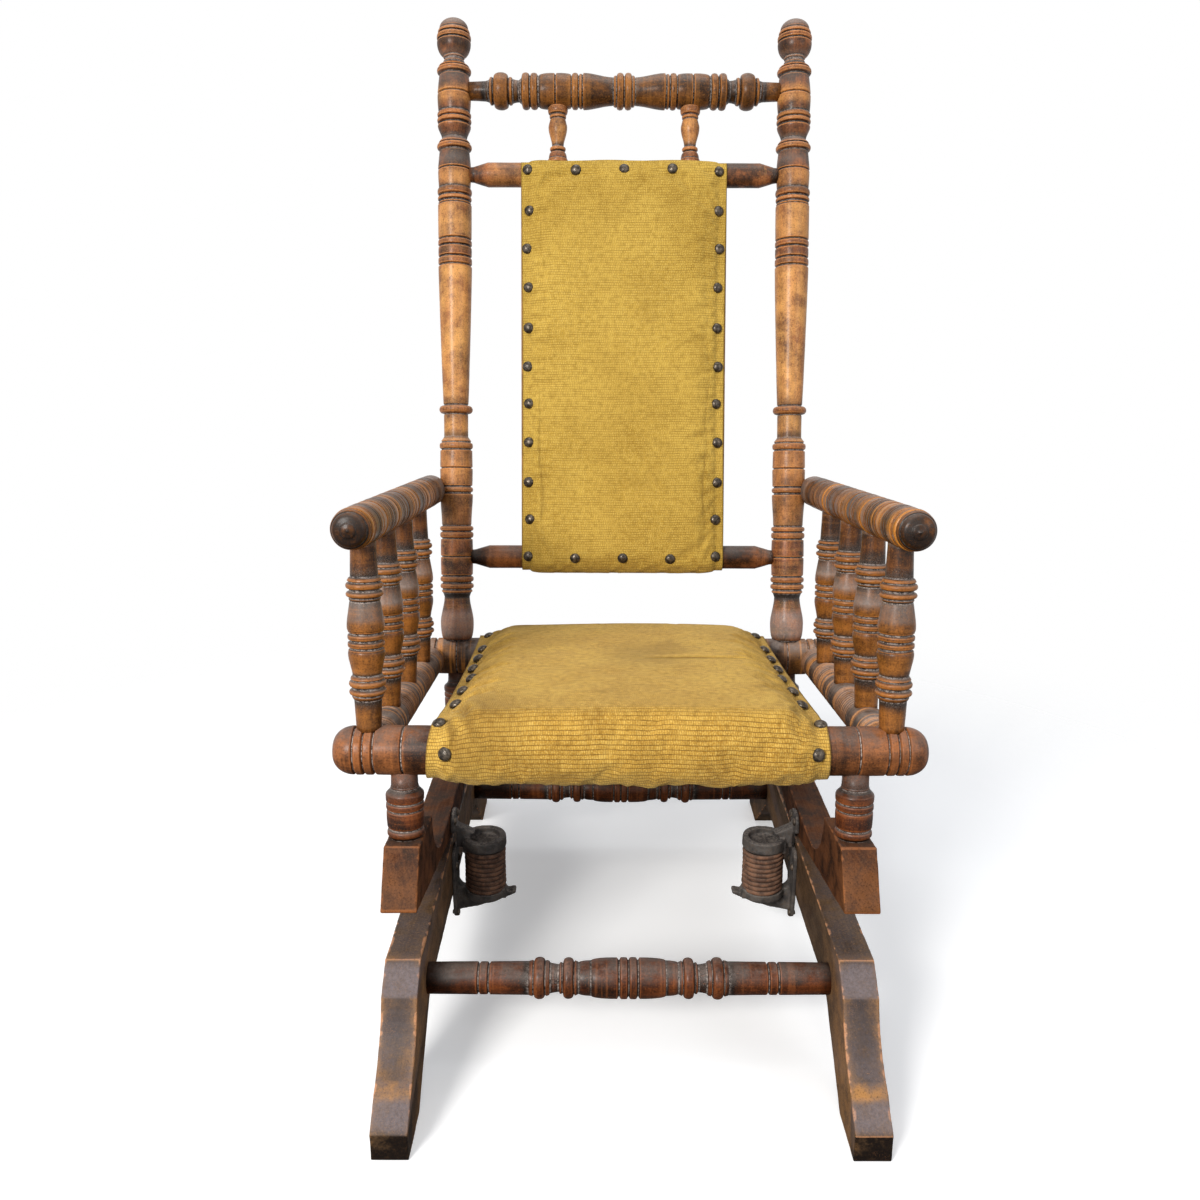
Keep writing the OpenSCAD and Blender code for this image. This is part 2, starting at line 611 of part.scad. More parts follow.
// Back panel: stiles and webbing between the two back rails, padded cover
// over their front, wrapped round both rails
stile_w = panel_w*0.09;
stile_t = back_rail_d*0.45;
panel_len = upper_s - lower_s;
stile_x = panel_w/2 - stile_w/2;
back_wrap_r = back_rail_r + soft_gap;
panel_face = -back_rail_r;

module back_stile(s) {
    color("#a06a3c") in_back_frame() difference() {
        translate([s*stile_x - stile_w/2, panel_face, lower_s]) cube([stile_w, stile_t, panel_len]);
        for (z = [lower_s, upper_s]) translate([s*stile_x, 0, z]) rotate([0, 90, 0])
            cylinder(r = back_rail_r + fit, h = stile_w + 2*over, center = true, $fn = 64);
    }
}

BACK_STRAPS = 6;
module back_webbing() {
    pitch = (panel_len - 2*back_rail_r)/BACK_STRAPS;
    color("#b09a72") in_back_frame() for (i = [0:BACK_STRAPS - 1])
        translate([-panel_w/2, panel_face + stile_t, lower_s + back_rail_r + pitch*(i + 0.12)])
            cube([panel_w, strap_t, pitch*0.76]);
}

back_wrap_steps = 8;
lower_wrap_end = 275;
upper_wrap_end = 135;
function panel_path(r, rise) = concat(
    [for (i = [0:back_wrap_steps]) let (a = lower_wrap_end + (180 - lower_wrap_end)*i/back_wrap_steps)
        [r*cos(a) - rise*pow(i/back_wrap_steps, 3)*0.3, lower_s + r*sin(a)]],
    [for (i = [1:run_steps - 1]) let (t = i/run_steps)
        [-r - rise*(0.3 + 0.7*pow(wave(t), 0.5)), lower_s + panel_len*t]],
    [for (i = [0:back_wrap_steps]) let (a = 180 + (upper_wrap_end - 180)*i/back_wrap_steps)
        [r*cos(a) - rise*pow(1 - i/back_wrap_steps, 3)*0.3, upper_s + r*sin(a)]]
);
back_pad_t = pad_t*0.65;
function panel_loop(u) = concat(
    panel_path(back_wrap_r + back_pad_t*(0.5 + 0.5*crown(u)), back_crown*crown(u)),
    turned_back(panel_path(back_wrap_r, 0))
);

module back_cover() {
    color("#b8962e") in_back_frame() skin([
        for (i = [0:cover_steps]) let (u = -cos(180*i/cover_steps))
            [for (p = panel_loop(u)) [u*panel_w/2, p[0], p[1]]]
    ]);
}

// Nails: domed heads on the covers' edges
seat_inset_share = 0.93;
back_inset_share = 0.9;
module nail_head() {
    ball_r = (nail_r*nail_r + nail_h*nail_h)/(2*nail_h);
    rotate_extrude($fn = 24) polygon(concat([[0, 0]],
        [for (i = [0:5]) let (a = asin(nail_r/ball_r)*(1 - i/5))
            [ball_r*sin(a), ball_r*cos(a) - ball_r + nail_h]]));
}
seat_nail_shares = [0.13, 0.26, 0.375, 0.5, 0.63, 0.76, 0.97];
front_nail_angles = [8, 82];
seat_edge_t = pad_t*(0.35 + 0.65*crown(seat_inset_share));
seat_edge_rise = seat_crown*crown(seat_inset_share);
function seat_rise(t) = 0.3 + 0.7*pow(wave(t), 0.6);
function front_rise(a) = 0.3*pow((front_wrap_end - 90 - a)/(front_wrap_end - 90), 4);
function fall(u) = 1.5*u*u/crown(u);
function edge_lean(u, rise, half_w) = atan(rise*fall(u)/half_w);

module seat_nails() {
    color("#3a352f") in_seat_frame() for (s = SIDES) {
        for (t = seat_nail_shares)
            translate([s*seat_inset_share*cover_half_w(t*seat_depth), t*seat_depth,
                       wrap_r + seat_edge_t + seat_edge_rise*seat_rise(t) + soft_gap])
                rotate([0, s*edge_lean(seat_inset_share, pad_t*0.65 + seat_crown*seat_rise(t), seat_w/2), 0])
                    nail_head();
        for (a = front_nail_angles) let (share = front_rise(a))
            translate([s*seat_inset_share*seat_w/2, 0, 0]) rotate([a, 0, 0])
                translate([0, 0, wrap_r + seat_edge_t + seat_edge_rise*share*cos(a) + soft_gap])
                    rotate([0, s*edge_lean(seat_inset_share, pad_t*0.65 + seat_crown*share*cos(a),
                                           seat_w/2), 0])
                        nail_head();
    }
}

SIDE_NAILS = 11;
TOP_NAILS = 5;
module back_nail(x, t) {
    u = 2*x/panel_w;
    swell = 0.3 + 0.7*pow(wave(t), 0.5);
    face = back_wrap_r + back_pad_t*(0.5 + 0.5*crown(u)) + back_crown*crown(u)*swell;
    lean = edge_lean(u, back_pad_t*0.5 + back_crown*swell, panel_w/2);
    translate([x, -face - soft_gap, lower_s + panel_len*t])
        rotate([90, 0, sign(x)*lean]) nail_head();
}

module back_nails() {
    color("#3a352f") in_back_frame() {
        for (s = SIDES) for (i = [0:SIDE_NAILS - 1])
            back_nail(s*back_inset_share*panel_w/2, i/(SIDE_NAILS - 1));
        for (t = [0, 1]) for (i = [1:TOP_NAILS - 2])
            back_nail(back_inset_share*panel_w*(i/(TOP_NAILS - 1) - 0.5), t);
    }
}

// Springs and their cast brackets, inside the boards at the base's middle
coil_y = base_mid - base_len*0.02;
coil_z = base_h - coil_drop;
coil_x = inner_x - coil_reach;
coil_r = coil_d/2 - wire_r;
CURL_RINGS = 8;
WIRE_SIDES = 6;
coil_rise = coil_pitch*coil_turns;
coil_low = coil_z + wire_r;
lead = wire_d;
function coil_at(turn) = [coil_r*cos(360*turn), coil_r*sin(360*turn), coil_low + coil_pitch*turn];
coil_count = round(coil_turns*CURL_RINGS);
coil_path = concat(
    [coil_at(0) - [0, lead, 0]],
    [for (i = [0:coil_count]) coil_at(i/CURL_RINGS)],
    [coil_at(coil_count/CURL_RINGS) - [0, lead, 0]]
);
function unit(v) = v/norm(v);
function heading(path, i) = i == 0 || i == 1 ? [0, 1, 0]
    : i >= len(path) - 2 ? [0, -1, 0] : unit(path[i + 1] - path[i - 1]);
function wire_ring(path, i) =
    let (h = heading(path, i), side = unit(cross(h, [0, 0, 1])), up = cross(side, h))
    [for (k = [0:WIRE_SIDES - 1]) let (a = 360*(k + 0.5)/WIRE_SIDES)
        path[i] + wire_r*(side*cos(a) + up*sin(a))];
wire_rings = [for (i = [0:len(coil_path) - 1]) wire_ring(coil_path, i)];
self_gap = min([for (i = [0:coil_count - CURL_RINGS]) for (a = wire_rings[i + 1])
    for (b = wire_rings[i + 1 + CURL_RINGS]) norm(a - b)]);
echo(spring_gap_to_itself = self_gap);

module at_coil(s) {
    in_floor_frame() translate([s*coil_x, coil_y, 0]) mirror([s < 0 ? 0 : 1, 0, 0]) children();
}

module wire(rings) {
    n = len(rings[0]);
    last = (len(rings) - 1)*n;
    polyhedron(
        [for (ring = rings) each ring],
        concat(
            [for (i = [0:len(rings) - 2]) for (j = [0:n - 1]) let (k = (j + 1)%n)
                [i*n + j, (i + 1)*n + j, (i + 1)*n + k]],
            [for (i = [0:len(rings) - 2]) for (j = [0:n - 1]) let (k = (j + 1)%n)
                [i*n + j, (i + 1)*n + k, i*n + k]],
            [for (j = [1:n - 2]) [0, j, j + 1]],
            [for (j = [1:n - 2]) [last, last + j + 1, last + j]]
        )
    );
}

module spring(s) {
    color("#5b3b2e") at_coil(s) wire(wire_rings);
}

// Bracket castings: a plate screwed to the board, a web and a seat for the
// coil. They are drawn in the coil's frame, with the board at -coil_reach.
plate_t = board_t*0.13;
plate_w = coil_d*0.72;
plate_x = -coil_reach + fit;
web_t = coil_d*0.28;
coil_top = coil_low + coil_rise + wire_r;
pad_h = wire_d*1.5;
cup_r = coil_d*0.52;
bore_r = coil_d*0.22;
stop_t = wire_d*1.2;
lower_plate_low = base_h - base_depth*1.55;
lower_plate_high = base_h - nose_r*0.5;
upper_plate_low = rock_z - nose_r*0.25;
upper_plate_high = waist_z - waist_h*0.05;

module plate(low, high) {
    translate([plate_x, -plate_w/2, low]) cube([plate_t, plate_w, high - low]);
}

// A stop that a straight end of the wire meets square on
module wire_stop(x, low, high) {
    translate([x - wire_d*0.6, -(lead + soft_gap + stop_t), low])
        cube([wire_d*1.2, stop_t, high - low]);
}

module lower_bracket(s) {
    shelf = coil_z - soft_gap;
    color("#33312f") at_coil(s) difference() {
        union() {
            plate(lower_plate_low, lower_plate_high);
            translate([0, 0, shelf - pad_h]) cylinder(r = cup_r, h = pad_h, $fn = 48);
            wire_stop(coil_r, shelf - pad_h, coil_low + wire_r*0.6);
            translate([0, web_t/2, 0]) rotate([90, 0, 0]) linear_extrude(web_t) polygon([
                [plate_x + plate_t/2, shelf - pad_h*3.2], [plate_x + plate_t/2, shelf + pad_h*2],
                [plate_x + coil_reach*0.26, shelf + pad_h*0.4], [-coil_d*0.4, shelf - pad_h*0.2],
                [coil_d*0.3, shelf - pad_h*0.5], [coil_d*0.3, shelf - pad_h*1.5],
                [-coil_d*0.2, shelf - pad_h*2.7]
            ]);
        }
        translate([0, 0, shelf - pad_h*4]) cylinder(r = bore_r, h = pad_h*5, $fn = 48);
        plate_holes(lower_holes);
    }
}

module upper_bracket(s) {
    seat = coil_top + soft_gap;
    arm_high = seat + coil_d*0.44;
    ring_h = coil_d*0.28;
    color("#33312f") at_coil(s) difference() {
        union() {
            plate(upper_plate_low, upper_plate_high);
            translate([0, 0, seat]) cylinder(r = cup_r, h = ring_h, $fn = 48);
            wire_stop(-coil_r, coil_top - wire_r*1.6, seat + pad_h);
            translate([0, web_t/2, 0]) rotate([90, 0, 0]) linear_extrude(web_t) polygon([
                [plate_x + plate_t + soft_gap, seat], [plate_x + plate_t + soft_gap, upper_plate_low],
                [plate_x + plate_t/2, upper_plate_low], [plate_x + plate_t/2, arm_high + pad_h],
                [plate_x + plate_t*2, arm_high], [-bore_r, arm_high - pad_h*0.5],
                [0, seat + ring_h], [0, seat]
            ]);
        }
        translate([0, 0, seat - over]) cylinder(r = cup_r*0.72, h = arm_high, $fn = 48);
        translate([0, -wire_d, seat - over]) cube([coil_d, wire_d*1.4, arm_high]);
        plate_holes(upper_holes);
    }
}

// Screws through the plates: a domed head and a shank in each hole
screw_d = plate_w*0.14;
head_d = screw_d*1.9;
hole_y = plate_w*0.32;
lower_holes = [[-hole_y, lower_plate_low + head_d], [hole_y, lower_plate_low + head_d],
               [-hole_y, lower_plate_high - head_d*2.3], [hole_y, lower_plate_high - head_d*2.3]];
upper_holes = [[-hole_y, upper_plate_high - head_d], [hole_y, upper_plate_high - head_d]];

module plate_holes(holes) {
    for (h = holes) translate([plate_x - over, h[0], h[1]]) rotate([0, 90, 0])
        cylinder(d = screw_d + 2*fit, h = plate_t + 2*over, $fn = 24);
}

module screws(holes) {
    head_h = screw_d*0.5;
    color("#6b6258") for (s = SIDES) at_coil(s) for (h = holes)
        translate([plate_x, h[0], h[1]]) rotate([0, 90, 0]) rotate_extrude($fn = 24) polygon([
            [0, 0], [screw_d/2, 0], [screw_d/2, plate_t + fit], [head_d/2, plate_t + fit],
            [head_d*0.44, plate_t + head_h*0.6], [head_d*0.28, plate_t + head_h], [0, plate_t + head_h*1.1]
        ]);
}

for (s = SIDES) base_side(s);
base_stretcher(stretcher_y);  // front_stretcher
base_stretcher(2*base_mid - stretcher_y);  // rear_stretcher
for (s = SIDES) lower_bracket(s);
for (s = SIDES) spring(s);
screws(lower_holes);  // lower_screws
for (s = SIDES) rocker(s);
for (s = SIDES) leg(s, 0, front_leg_len);
for (s = SIDES) leg(s, seat_depth, rear_leg_len);
front_rail();
rear_rail();
for (s = SIDES) side_rail(s);
for (s = SIDES) for (i = [0:SPINDLES - 1])
    arm_spindle(s, i);
for (s = SIDES) arm(s);
for (s = SIDES) post(s);
crest_rail();
upper_back_rail();
lower_back_rail();
for (s = SIDES) crest_spindle(s);
for (s = SIDES) seat_batten(s);
seat_webbing();
seat_cover();
for (s = SIDES) back_stile(s);
back_webbing();
back_cover();
for (s = SIDES) upper_bracket(s);
screws(upper_holes);  // upper_screws
seat_nails();
back_nails();
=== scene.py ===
import math
from types import SimpleNamespace
import bpy
import numpy as np
from mathutils import Matrix, Vector, noise


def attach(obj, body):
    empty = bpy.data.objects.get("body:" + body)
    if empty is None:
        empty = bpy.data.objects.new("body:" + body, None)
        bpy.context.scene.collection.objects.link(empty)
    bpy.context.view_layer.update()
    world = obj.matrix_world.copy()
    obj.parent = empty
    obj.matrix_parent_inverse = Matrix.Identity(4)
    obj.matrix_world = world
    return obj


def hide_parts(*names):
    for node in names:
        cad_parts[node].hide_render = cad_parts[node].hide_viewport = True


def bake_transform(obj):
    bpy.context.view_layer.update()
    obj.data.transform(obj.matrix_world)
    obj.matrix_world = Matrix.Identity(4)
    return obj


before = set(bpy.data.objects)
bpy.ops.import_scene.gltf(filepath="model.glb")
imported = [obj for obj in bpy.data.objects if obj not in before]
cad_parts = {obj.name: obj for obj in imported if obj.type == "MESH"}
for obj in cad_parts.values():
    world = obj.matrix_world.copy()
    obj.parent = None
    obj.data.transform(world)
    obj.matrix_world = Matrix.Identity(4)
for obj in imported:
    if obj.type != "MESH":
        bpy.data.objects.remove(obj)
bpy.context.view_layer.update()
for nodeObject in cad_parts.values():
    nodeObject.data.materials.clear()

# sizes are in millimetres unless a comment says otherwise
mm = 0.001
places = {"originY": 207.509, "seatZ": 316.981, "seatSlope": 6.07, "backRake": 6.13, "seatDepth": 390,
          "legX": 209, "sideX": 240, "railR": 22.9, "boardT": 33, "armZ": 209, "armR": 19, "armFrontY": -60,
          "spindleFootZ": 18.5, "postTopZ": 784, "crestZ": 698, "upperRailZ": 597.5, "lowerRailZ": 126,
          "crestSpindleX": 81.5, "crestSpindleZ": 606.9, "stretcherZ": 88.44}
sides = {"left": -1, "right": 1}


def move(x, y, z):
    return Matrix.Translation((x * mm, y * mm, z * mm))


def turn(degrees, axis):
    return Matrix.Rotation(math.radians(degrees), 4, axis)


floorFrame = move(0, -places["originY"], 0)
seatFrame = floorFrame @ move(0, 0, places["seatZ"]) @ turn(-places["seatSlope"], "X")
backFrame = seatFrame @ move(0, places["seatDepth"], 0) @ turn(-places["backRake"], "X")


def meshObject(name, mesh):
    piece = bpy.data.objects.new(name, mesh)
    bpy.context.scene.collection.objects.link(piece)
    return piece


def meshFrom(name, points, faces, smooth=True, edges=()):
    mesh = bpy.data.meshes.new(name)
    mesh.from_pydata([tuple(p) for p in points], edges, faces)
    mesh.polygons.foreach_set("use_smooth", [smooth] * len(mesh.polygons))
    return mesh


def coordinates(mesh):
    flat = np.zeros(len(mesh.vertices) * 3)
    mesh.vertices.foreach_get("co", flat)
    return flat.reshape(-1, 3)


# a number or a vector at every point of the mesh
def store(mesh, name, values):
    values = np.asarray(values, np.float32)
    kind, field = ("FLOAT_VECTOR", "vector") if values.ndim == 2 else ("FLOAT", "value")
    layer = mesh.attributes.get(name) or mesh.attributes.new(name, kind, "POINT")
    layer.data.foreach_set(field, values.ravel())


def outward(mesh):
    points = coordinates(mesh)
    mesh.calc_loop_triangles()
    corners = np.zeros(len(mesh.loop_triangles) * 3, np.int32)
    mesh.loop_triangles.foreach_get("vertices", corners)
    a, b, c = (points[corners.reshape(-1, 3)[:, k]] for k in range(3))
    if np.einsum("ij,ij->i", a, np.cross(b, c)).sum() < 0:
        mesh.flip_normals()


def finishPiece(piece, body, node):
    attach(piece, body)
    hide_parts(node)


def knocks(points, scale, shift=(0, 0, 0)):
    return np.array([noise.noise(tuple(p)) for p in points * np.array(scale) + np.array(shift)])


# Node helpers. A colour is written as three numbers up to 255
def tone(*rgb):
    return *[v / 3294.6 if v <= 10.3 else ((v / 255 + 0.055) / 1.055) ** 2.4 for v in rgb], 1


def feed(target, value):
    if isinstance(value, Value):
        target.id_data.links.new(value.socket, target)
    elif value is not None:
        target.default_value = tone(*value) if target.type == "RGBA" and len(value) == 3 else value


def feedAll(node, values):
    for name, value in values.items():
        feed(node.inputs[name], value)


def put(tree, kind, *values, output=0, **settings):
    made = tree.nodes.new(kind)
    for key, value in settings.items():
        setattr(made, key, value)
    for target, value in zip(made.inputs, values):
        feed(target, value)
    return Value(made.outputs[output])


# a node's output that can be reckoned with like a number
class Value:
    def __init__(self, socket):
        self.socket = socket

    def into(self, kind, *others, **settings):
        return put(self.socket.id_data, kind, self, *others, **settings)

    def maths(self, operation, *others):
        return self.into("ShaderNodeMath", *others, operation=operation)

    def __add__(self, other):
        return self.maths("ADD", other)

    def __sub__(self, other):
        return self.maths("SUBTRACT", other)

    def __rsub__(self, other):
        return self * -1 + other

    def __mul__(self, other):
        return self.maths("MULTIPLY", other)

    def __truediv__(self, other):
        return self.maths("DIVIDE", other)

    def sine(self):
        return self.maths("SINE")

    def larger(self, other):
        return self.maths("MAXIMUM", other)

    def clamped(self):
        return self.into("ShaderNodeClamp")

    def step(self, low, high):
        return self.into("ShaderNodeMapRange", low, high, interpolation_type="SMOOTHSTEP")

    def between(self, a, b):
        return self.into("ShaderNodeMix", *[None] * 5, a, b, output=2, data_type="RGBA")

    def scaled(self, scale, shift=(0, 0, 0)):
        scale = scale if isinstance(scale, tuple) else (scale,) * 3
        return self.into("ShaderNodeMapping", shift, None, scale)

    def cloud(self, scale, detail=3, roughness=0.55, shift=(0, 0, 0)):
        return self.scaled(scale, shift).into("ShaderNodeTexNoise", None, 1, detail, roughness)

    def split(self):
        return [Value(s) for s in self.into("ShaderNodeSeparateXYZ").socket.node.outputs]


def coated(colour, *coats):
    for share, tint in coats:
        colour = share.between(colour, tint)
    return colour


def spotOn(tree):
    return put(tree, "ShaderNodeTexCoord", output="Object")


def upwardOn(tree):
    return put(tree, "ShaderNodeTexCoord", output="Normal").split()[2]


def attribute(tree, name, output="Fac"):
    return put(tree, "ShaderNodeAttribute", output=output, attribute_name=name)


def startTree(name, kind, inputs, outputs):
    tree = bpy.data.node_groups.new(name, kind + "NodeTree")
    for way, groups in (("INPUT", inputs), ("OUTPUT", outputs)):
        for socketKind, names in groups.items():
            for each in names.split():
                tree.interface.new_socket(each, in_out=way, socket_type="NodeSocket" + socketKind)
    given = tree.nodes.new("NodeGroupInput").outputs
    result = tree.nodes.new("NodeGroupOutput")
    return tree, SimpleNamespace(**{s.name: Value(s) for s in given if s.name}), result


def useGroup(tree, group, values):
    made = put(tree, "ShaderNodeGroup", node_tree=group).socket.node
    feedAll(made, {key: values[key] for key in made.inputs.keys()})
    return SimpleNamespace(**{s.name: Value(s) for s in made.outputs})


def startMaterial(name, look=()):
    material = bpy.data.materials.new(name)
    material.use_nodes = True
    return material, material.node_tree, SimpleNamespace(**dict(look))


def dressed(material, values, height, strength, distance):
    tree = material.node_tree
    bump = tree.nodes.new("ShaderNodeBump")
    feedAll(bump, {"Strength": strength, "Distance": distance, "Height": height})
    feedAll(tree.nodes["Principled BSDF"], {**values, "Normal": Value(bump.outputs[0])})
    return material


# long grain, growth rings and pores; the grain runs down z of the place it is given
def grainGroup():
    tree, g, result = startTree("woodGrain", "Shader", {"Vector": "place", "Color": "deep pale",
                                                        "Float": "ringSpacing contrast"},
                                {"Color": "colour", "Float": "height"})
    x, y, z = g.place.scaled((1, 1, 0.03), (0.031, 0.052, 0)).split()
    across = (x * x + y * y).maths("SQRT") + g.place.cloud((27, 27, 6.6)) * 0.009
    ring = (across * 6.283 / g.ringSpacing).sine().step(-0.6, 1)
    streak = g.place.cloud((620, 620, 16), 4, 0.62)
    pore = g.place.cloud((2300, 2300, 90), 2).step(0.6, 0.72)
    blotch = g.place.cloud((38, 38, 17))
    share = (streak - 0.5) * 0.8 + (ring - 0.5) * 0.16 + (blotch - 0.5) * 2.4
    colour = coated((share * g.contrast + 0.5).between(g.deep, g.pale), (pore * 0.45, (38, 20, 10)))
    feedAll(result, {"colour": colour, "height": streak * 0.6 - pore * 0.5})
    return tree


# dark or dusty grooves, worn ridges, grime, the dust that settles on top, and painted sky reflection on
# upward faces
def patinaGroup():
    tree, g, result = startTree(
        "patina", "Shader",
        {"Color": "colour groove ridge dust bareTone", "Vector": "place",
         "Float": "rough relief crease wear dustiness grooveDust grime soot film bare bands"},
        {"Color": "colour", "Float": "rough height"})
    spot, upward = spotOn(tree), upwardOn(tree)
    patchy, speck, fine = spot.cloud(42, 5, 0.65), spot.cloud(330, 4, 0.7), spot.cloud(1500, 2)
    # dark old finish in patches and in the hollows
    hollow, kept = g.relief.step(0.05, -0.55), g.bare * -0.85 + 1
    dirt = (patchy.step(0.42, 0.66) * g.grime + hollow * (speck * 0.8 + 0.35)).clamped() * kept
    # every ring of a turned piece has aged in its own way
    ring = g.place.cloud((6, 6, 150), 2, 0.7)
    # bare wood where hands and use have worn it
    rubbed = g.bare * (patchy * 0.6 + speck * 0.3).step(0.62, 0.3)
    proud = g.relief.step(0.15, 0.8) * (speck * 0.45 + patchy * 0.55).step(0.42, 0.66) * (g.soot * -0.9 + 1)
    edged = g.crease.step(0.45, 1.1) * g.soot.step(0.95, 0.85)
    # pores and small knocks
    tooth = spot.cloud(640, 2, 0.6)
    nick = spot.scaled((90, 90, 60)).into("ShaderNodeTexVoronoi", feature="DISTANCE_TO_EDGE")
    nick = nick.step(0.012, 0.002) * patchy.step(0.55, 0.62)
    # dust lies on top and in the hollows, and is packed in some of the black cut lines; on upward-leaning
    # faces the dust colour is also a painted sky reflection
    # painted reflection: faces that lean upward take the dust colour as if the sky shone in them
    paintedSkyReflection = upward.step(-0.04, 0.3) * (patchy * 0.5 - 0.1)
    dustAndSkyReflection = upward.step(0.15, 0.95) * patchy.step(0.3, 0.6) * (speck * 1.3 + 0.05) + paintedSkyReflection * 0.6
    packed = g.crease.step(-0.3, -0.66) * (fine * 0.4 + speck * 0.6).step(0.42, 0.58)
    lodged = (hollow * kept * 0.5 * fine.step(0.46, 0.66) * upward.step(-0.6, 0.4)).larger(packed)
    lodged = lodged * g.grooveDust * (g.soot * -0.8 + 1)
    # the film is dust, with painted sky reflection and painted highlights mixed in
    film = (dustAndSkyReflection * g.dustiness + lodged + g.film * (speck * 1.2 + 0.1)).clamped()
    colour = coated(
        g.colour, (dirt * 0.9, g.groove), (ring.step(0.52, 0.62) * g.bands, g.groove),
        (ring.step(0.47, 0.38) * g.bands * (1 - g.soot), g.bareTone),
        (rubbed * (speck * 0.8 + 0.35), g.bareTone),
        (g.soot * (speck * 0.35 + patchy).step(0.4, 0.75), g.groove),
        (proud.larger(edged) * g.wear, g.ridge), (tooth.step(0.52, 0.72) * 0.55, g.groove),
        (tooth.step(0.46, 0.28) * (g.soot * -0.2 + 0.22), g.bareTone),
        (g.crease.step(-0.09, -0.38) * (g.bare * -0.35 + 0.98), g.groove), (film, g.dust),
        (nick * 0.35, g.ridge))
    rough = (g.rough + film * 0.4 + dirt * 0.12 + (speck - 0.5) * 0.25).clamped()
    feedAll(result, {"colour": colour, "rough": rough, "height": film * 0.5 + speck * 0.5})
    return tree


grain = grainGroup()
patina = patinaGroup()


def woodMaterial(name, look):
    material, tree, _ = startMaterial(name)
    place = attribute(tree, "grain", "Vector")
    wood = useGroup(tree, grain, {**look, "place": place})
    marks = {what: attribute(tree, what) for what in ("relief", "crease", "bare", "soot", "film")}
    aged = useGroup(tree, patina, {**look, **marks, "place": place, "colour": wood.colour})
    values = {"Base Color": aged.colour, "Roughness": aged.rough, "Coat Weight": look["coat"],
              "Coat Roughness": 0.22, "Specular IOR Level": look["shine"]}
    return dressed(material, values, aged.height * 0.6 + wood.height, 0.35, 0.0006)


# dust is also the colour of the painted sky reflection and the painted highlights on the wood
oldWood = {"deep": (50, 22, 8), "pale": (146, 84, 34), "ringSpacing": 0.0042, "contrast": 0.9, "rough": 0.34,
           "groove": (14, 7, 4), "ridge": (176, 102, 38), "wear": 0.75, "bareTone": (208, 136, 62),
           "dust": (186, 170, 160), "dustiness": 0.2, "grooveDust": 0.6, "grime": 0.95, "coat": 0.08,
           "shine": 0.14, "bands": 0.35}
woodLooks = {
    "postWood": {"deep": (66, 32, 16), "pale": (172, 104, 58), "ridge": (196, 128, 70),
                 "bareTone": (236, 172, 96), "grooveDust": 0.4, "coat": 0.12, "shine": 0.2, "rough": 0.46,
                 "bands": 0.08},
    "armWood": {"deep": (38, 18, 7), "pale": (124, 72, 22), "ridge": (172, 102, 34),
                "bareTone": (198, 128, 48), "dustiness": 0.14, "grooveDust": 0.7, "wear": 0.6, "bands": 0.7},
    "spindleWood": {"deep": (42, 20, 9), "pale": (132, 78, 34), "ridge": (182, 114, 52),
                    "bareTone": (200, 130, 58), "dustiness": 0.24, "wear": 0.6, "bands": 0.12},
    "crestWood": {"deep": (44, 24, 10), "pale": (134, 84, 38), "ridge": (176, 112, 52),
                  "bareTone": (196, 130, 60), "bands": 0.12},
    "railWood": {"deep": (50, 25, 13), "pale": (146, 88, 48), "ridge": (172, 102, 54),
                 "bareTone": (190, 118, 64), "grooveDust": 1.0, "wear": 0.3, "bands": 0.15},
    "greyWood": {"deep": (40, 26, 17), "pale": (112, 82, 60), "ridge": (156, 108, 72), "dustiness": 0.5,
                 "grooveDust": 1.0, "rough": 0.5, "coat": 0.02, "bands": 0.75},
    # the base's blue-grey dust colour is also the colour of its painted sheen
    "baseWood": {"deep": (50, 35, 24), "pale": (110, 84, 58), "ridge": (206, 146, 100),
                 "bareTone": (186, 132, 74), "rough": 0.46, "contrast": 0.7, "coat": 0.04, "wear": 0.9,
                 "shine": 0.16, "dust": (128, 118, 120), "dustiness": 0.3, "grime": 0.55, "bands": 0},
    "rockerWood": {"deep": (50, 24, 12), "pale": (112, 68, 38), "ridge": (172, 106, 60),
                   "bareTone": (130, 84, 48), "rough": 0.55, "dustiness": 0.08, "coat": 0, "shine": 0.06,
                   "wear": 0.45, "bands": 0},
    "footWood": {"deep": (38, 15, 7), "pale": (112, 58, 27), "ridge": (150, 84, 42),
                 "bareTone": (168, 98, 52), "grooveDust": 0.55, "dustiness": 0.22, "wear": 0.5,
                 "bands": 0.2},
}
woods = {name: woodMaterial(name, {**oldWood, **look}) for name, look in woodLooks.items()}
print("shaders ready")


# Turned pieces. A row is (length, start radius, end radius, swell, bend), or (length, radius) where it
# is straight; radii are shares of the piece's own, and what is left out at the end is 0
# bend is 0 for a straight run, 1 for a soft double curve, -1 for a dome and -2 for a flare
def mirrored(rows):
    turnedOver = {-1: -2, -2: -1}
    full = [(r[0], r[1], *r[1:]) if len(r) == 2 else r for r in rows]
    return [(r[0], r[2], r[1], *r[3:4], *[turnedOver.get(b, b) for b in r[4:]]) for r in reversed(full)]


def gaussian(values, sigma, step):
    reach = max(1, int(3 * sigma / step))
    kernel = np.exp(-0.5 * (np.arange(-reach, reach + 1) * step / sigma) ** 2)
    return np.convolve(np.pad(values, reach, mode="edge"), kernel / kernel.sum(), "valid")


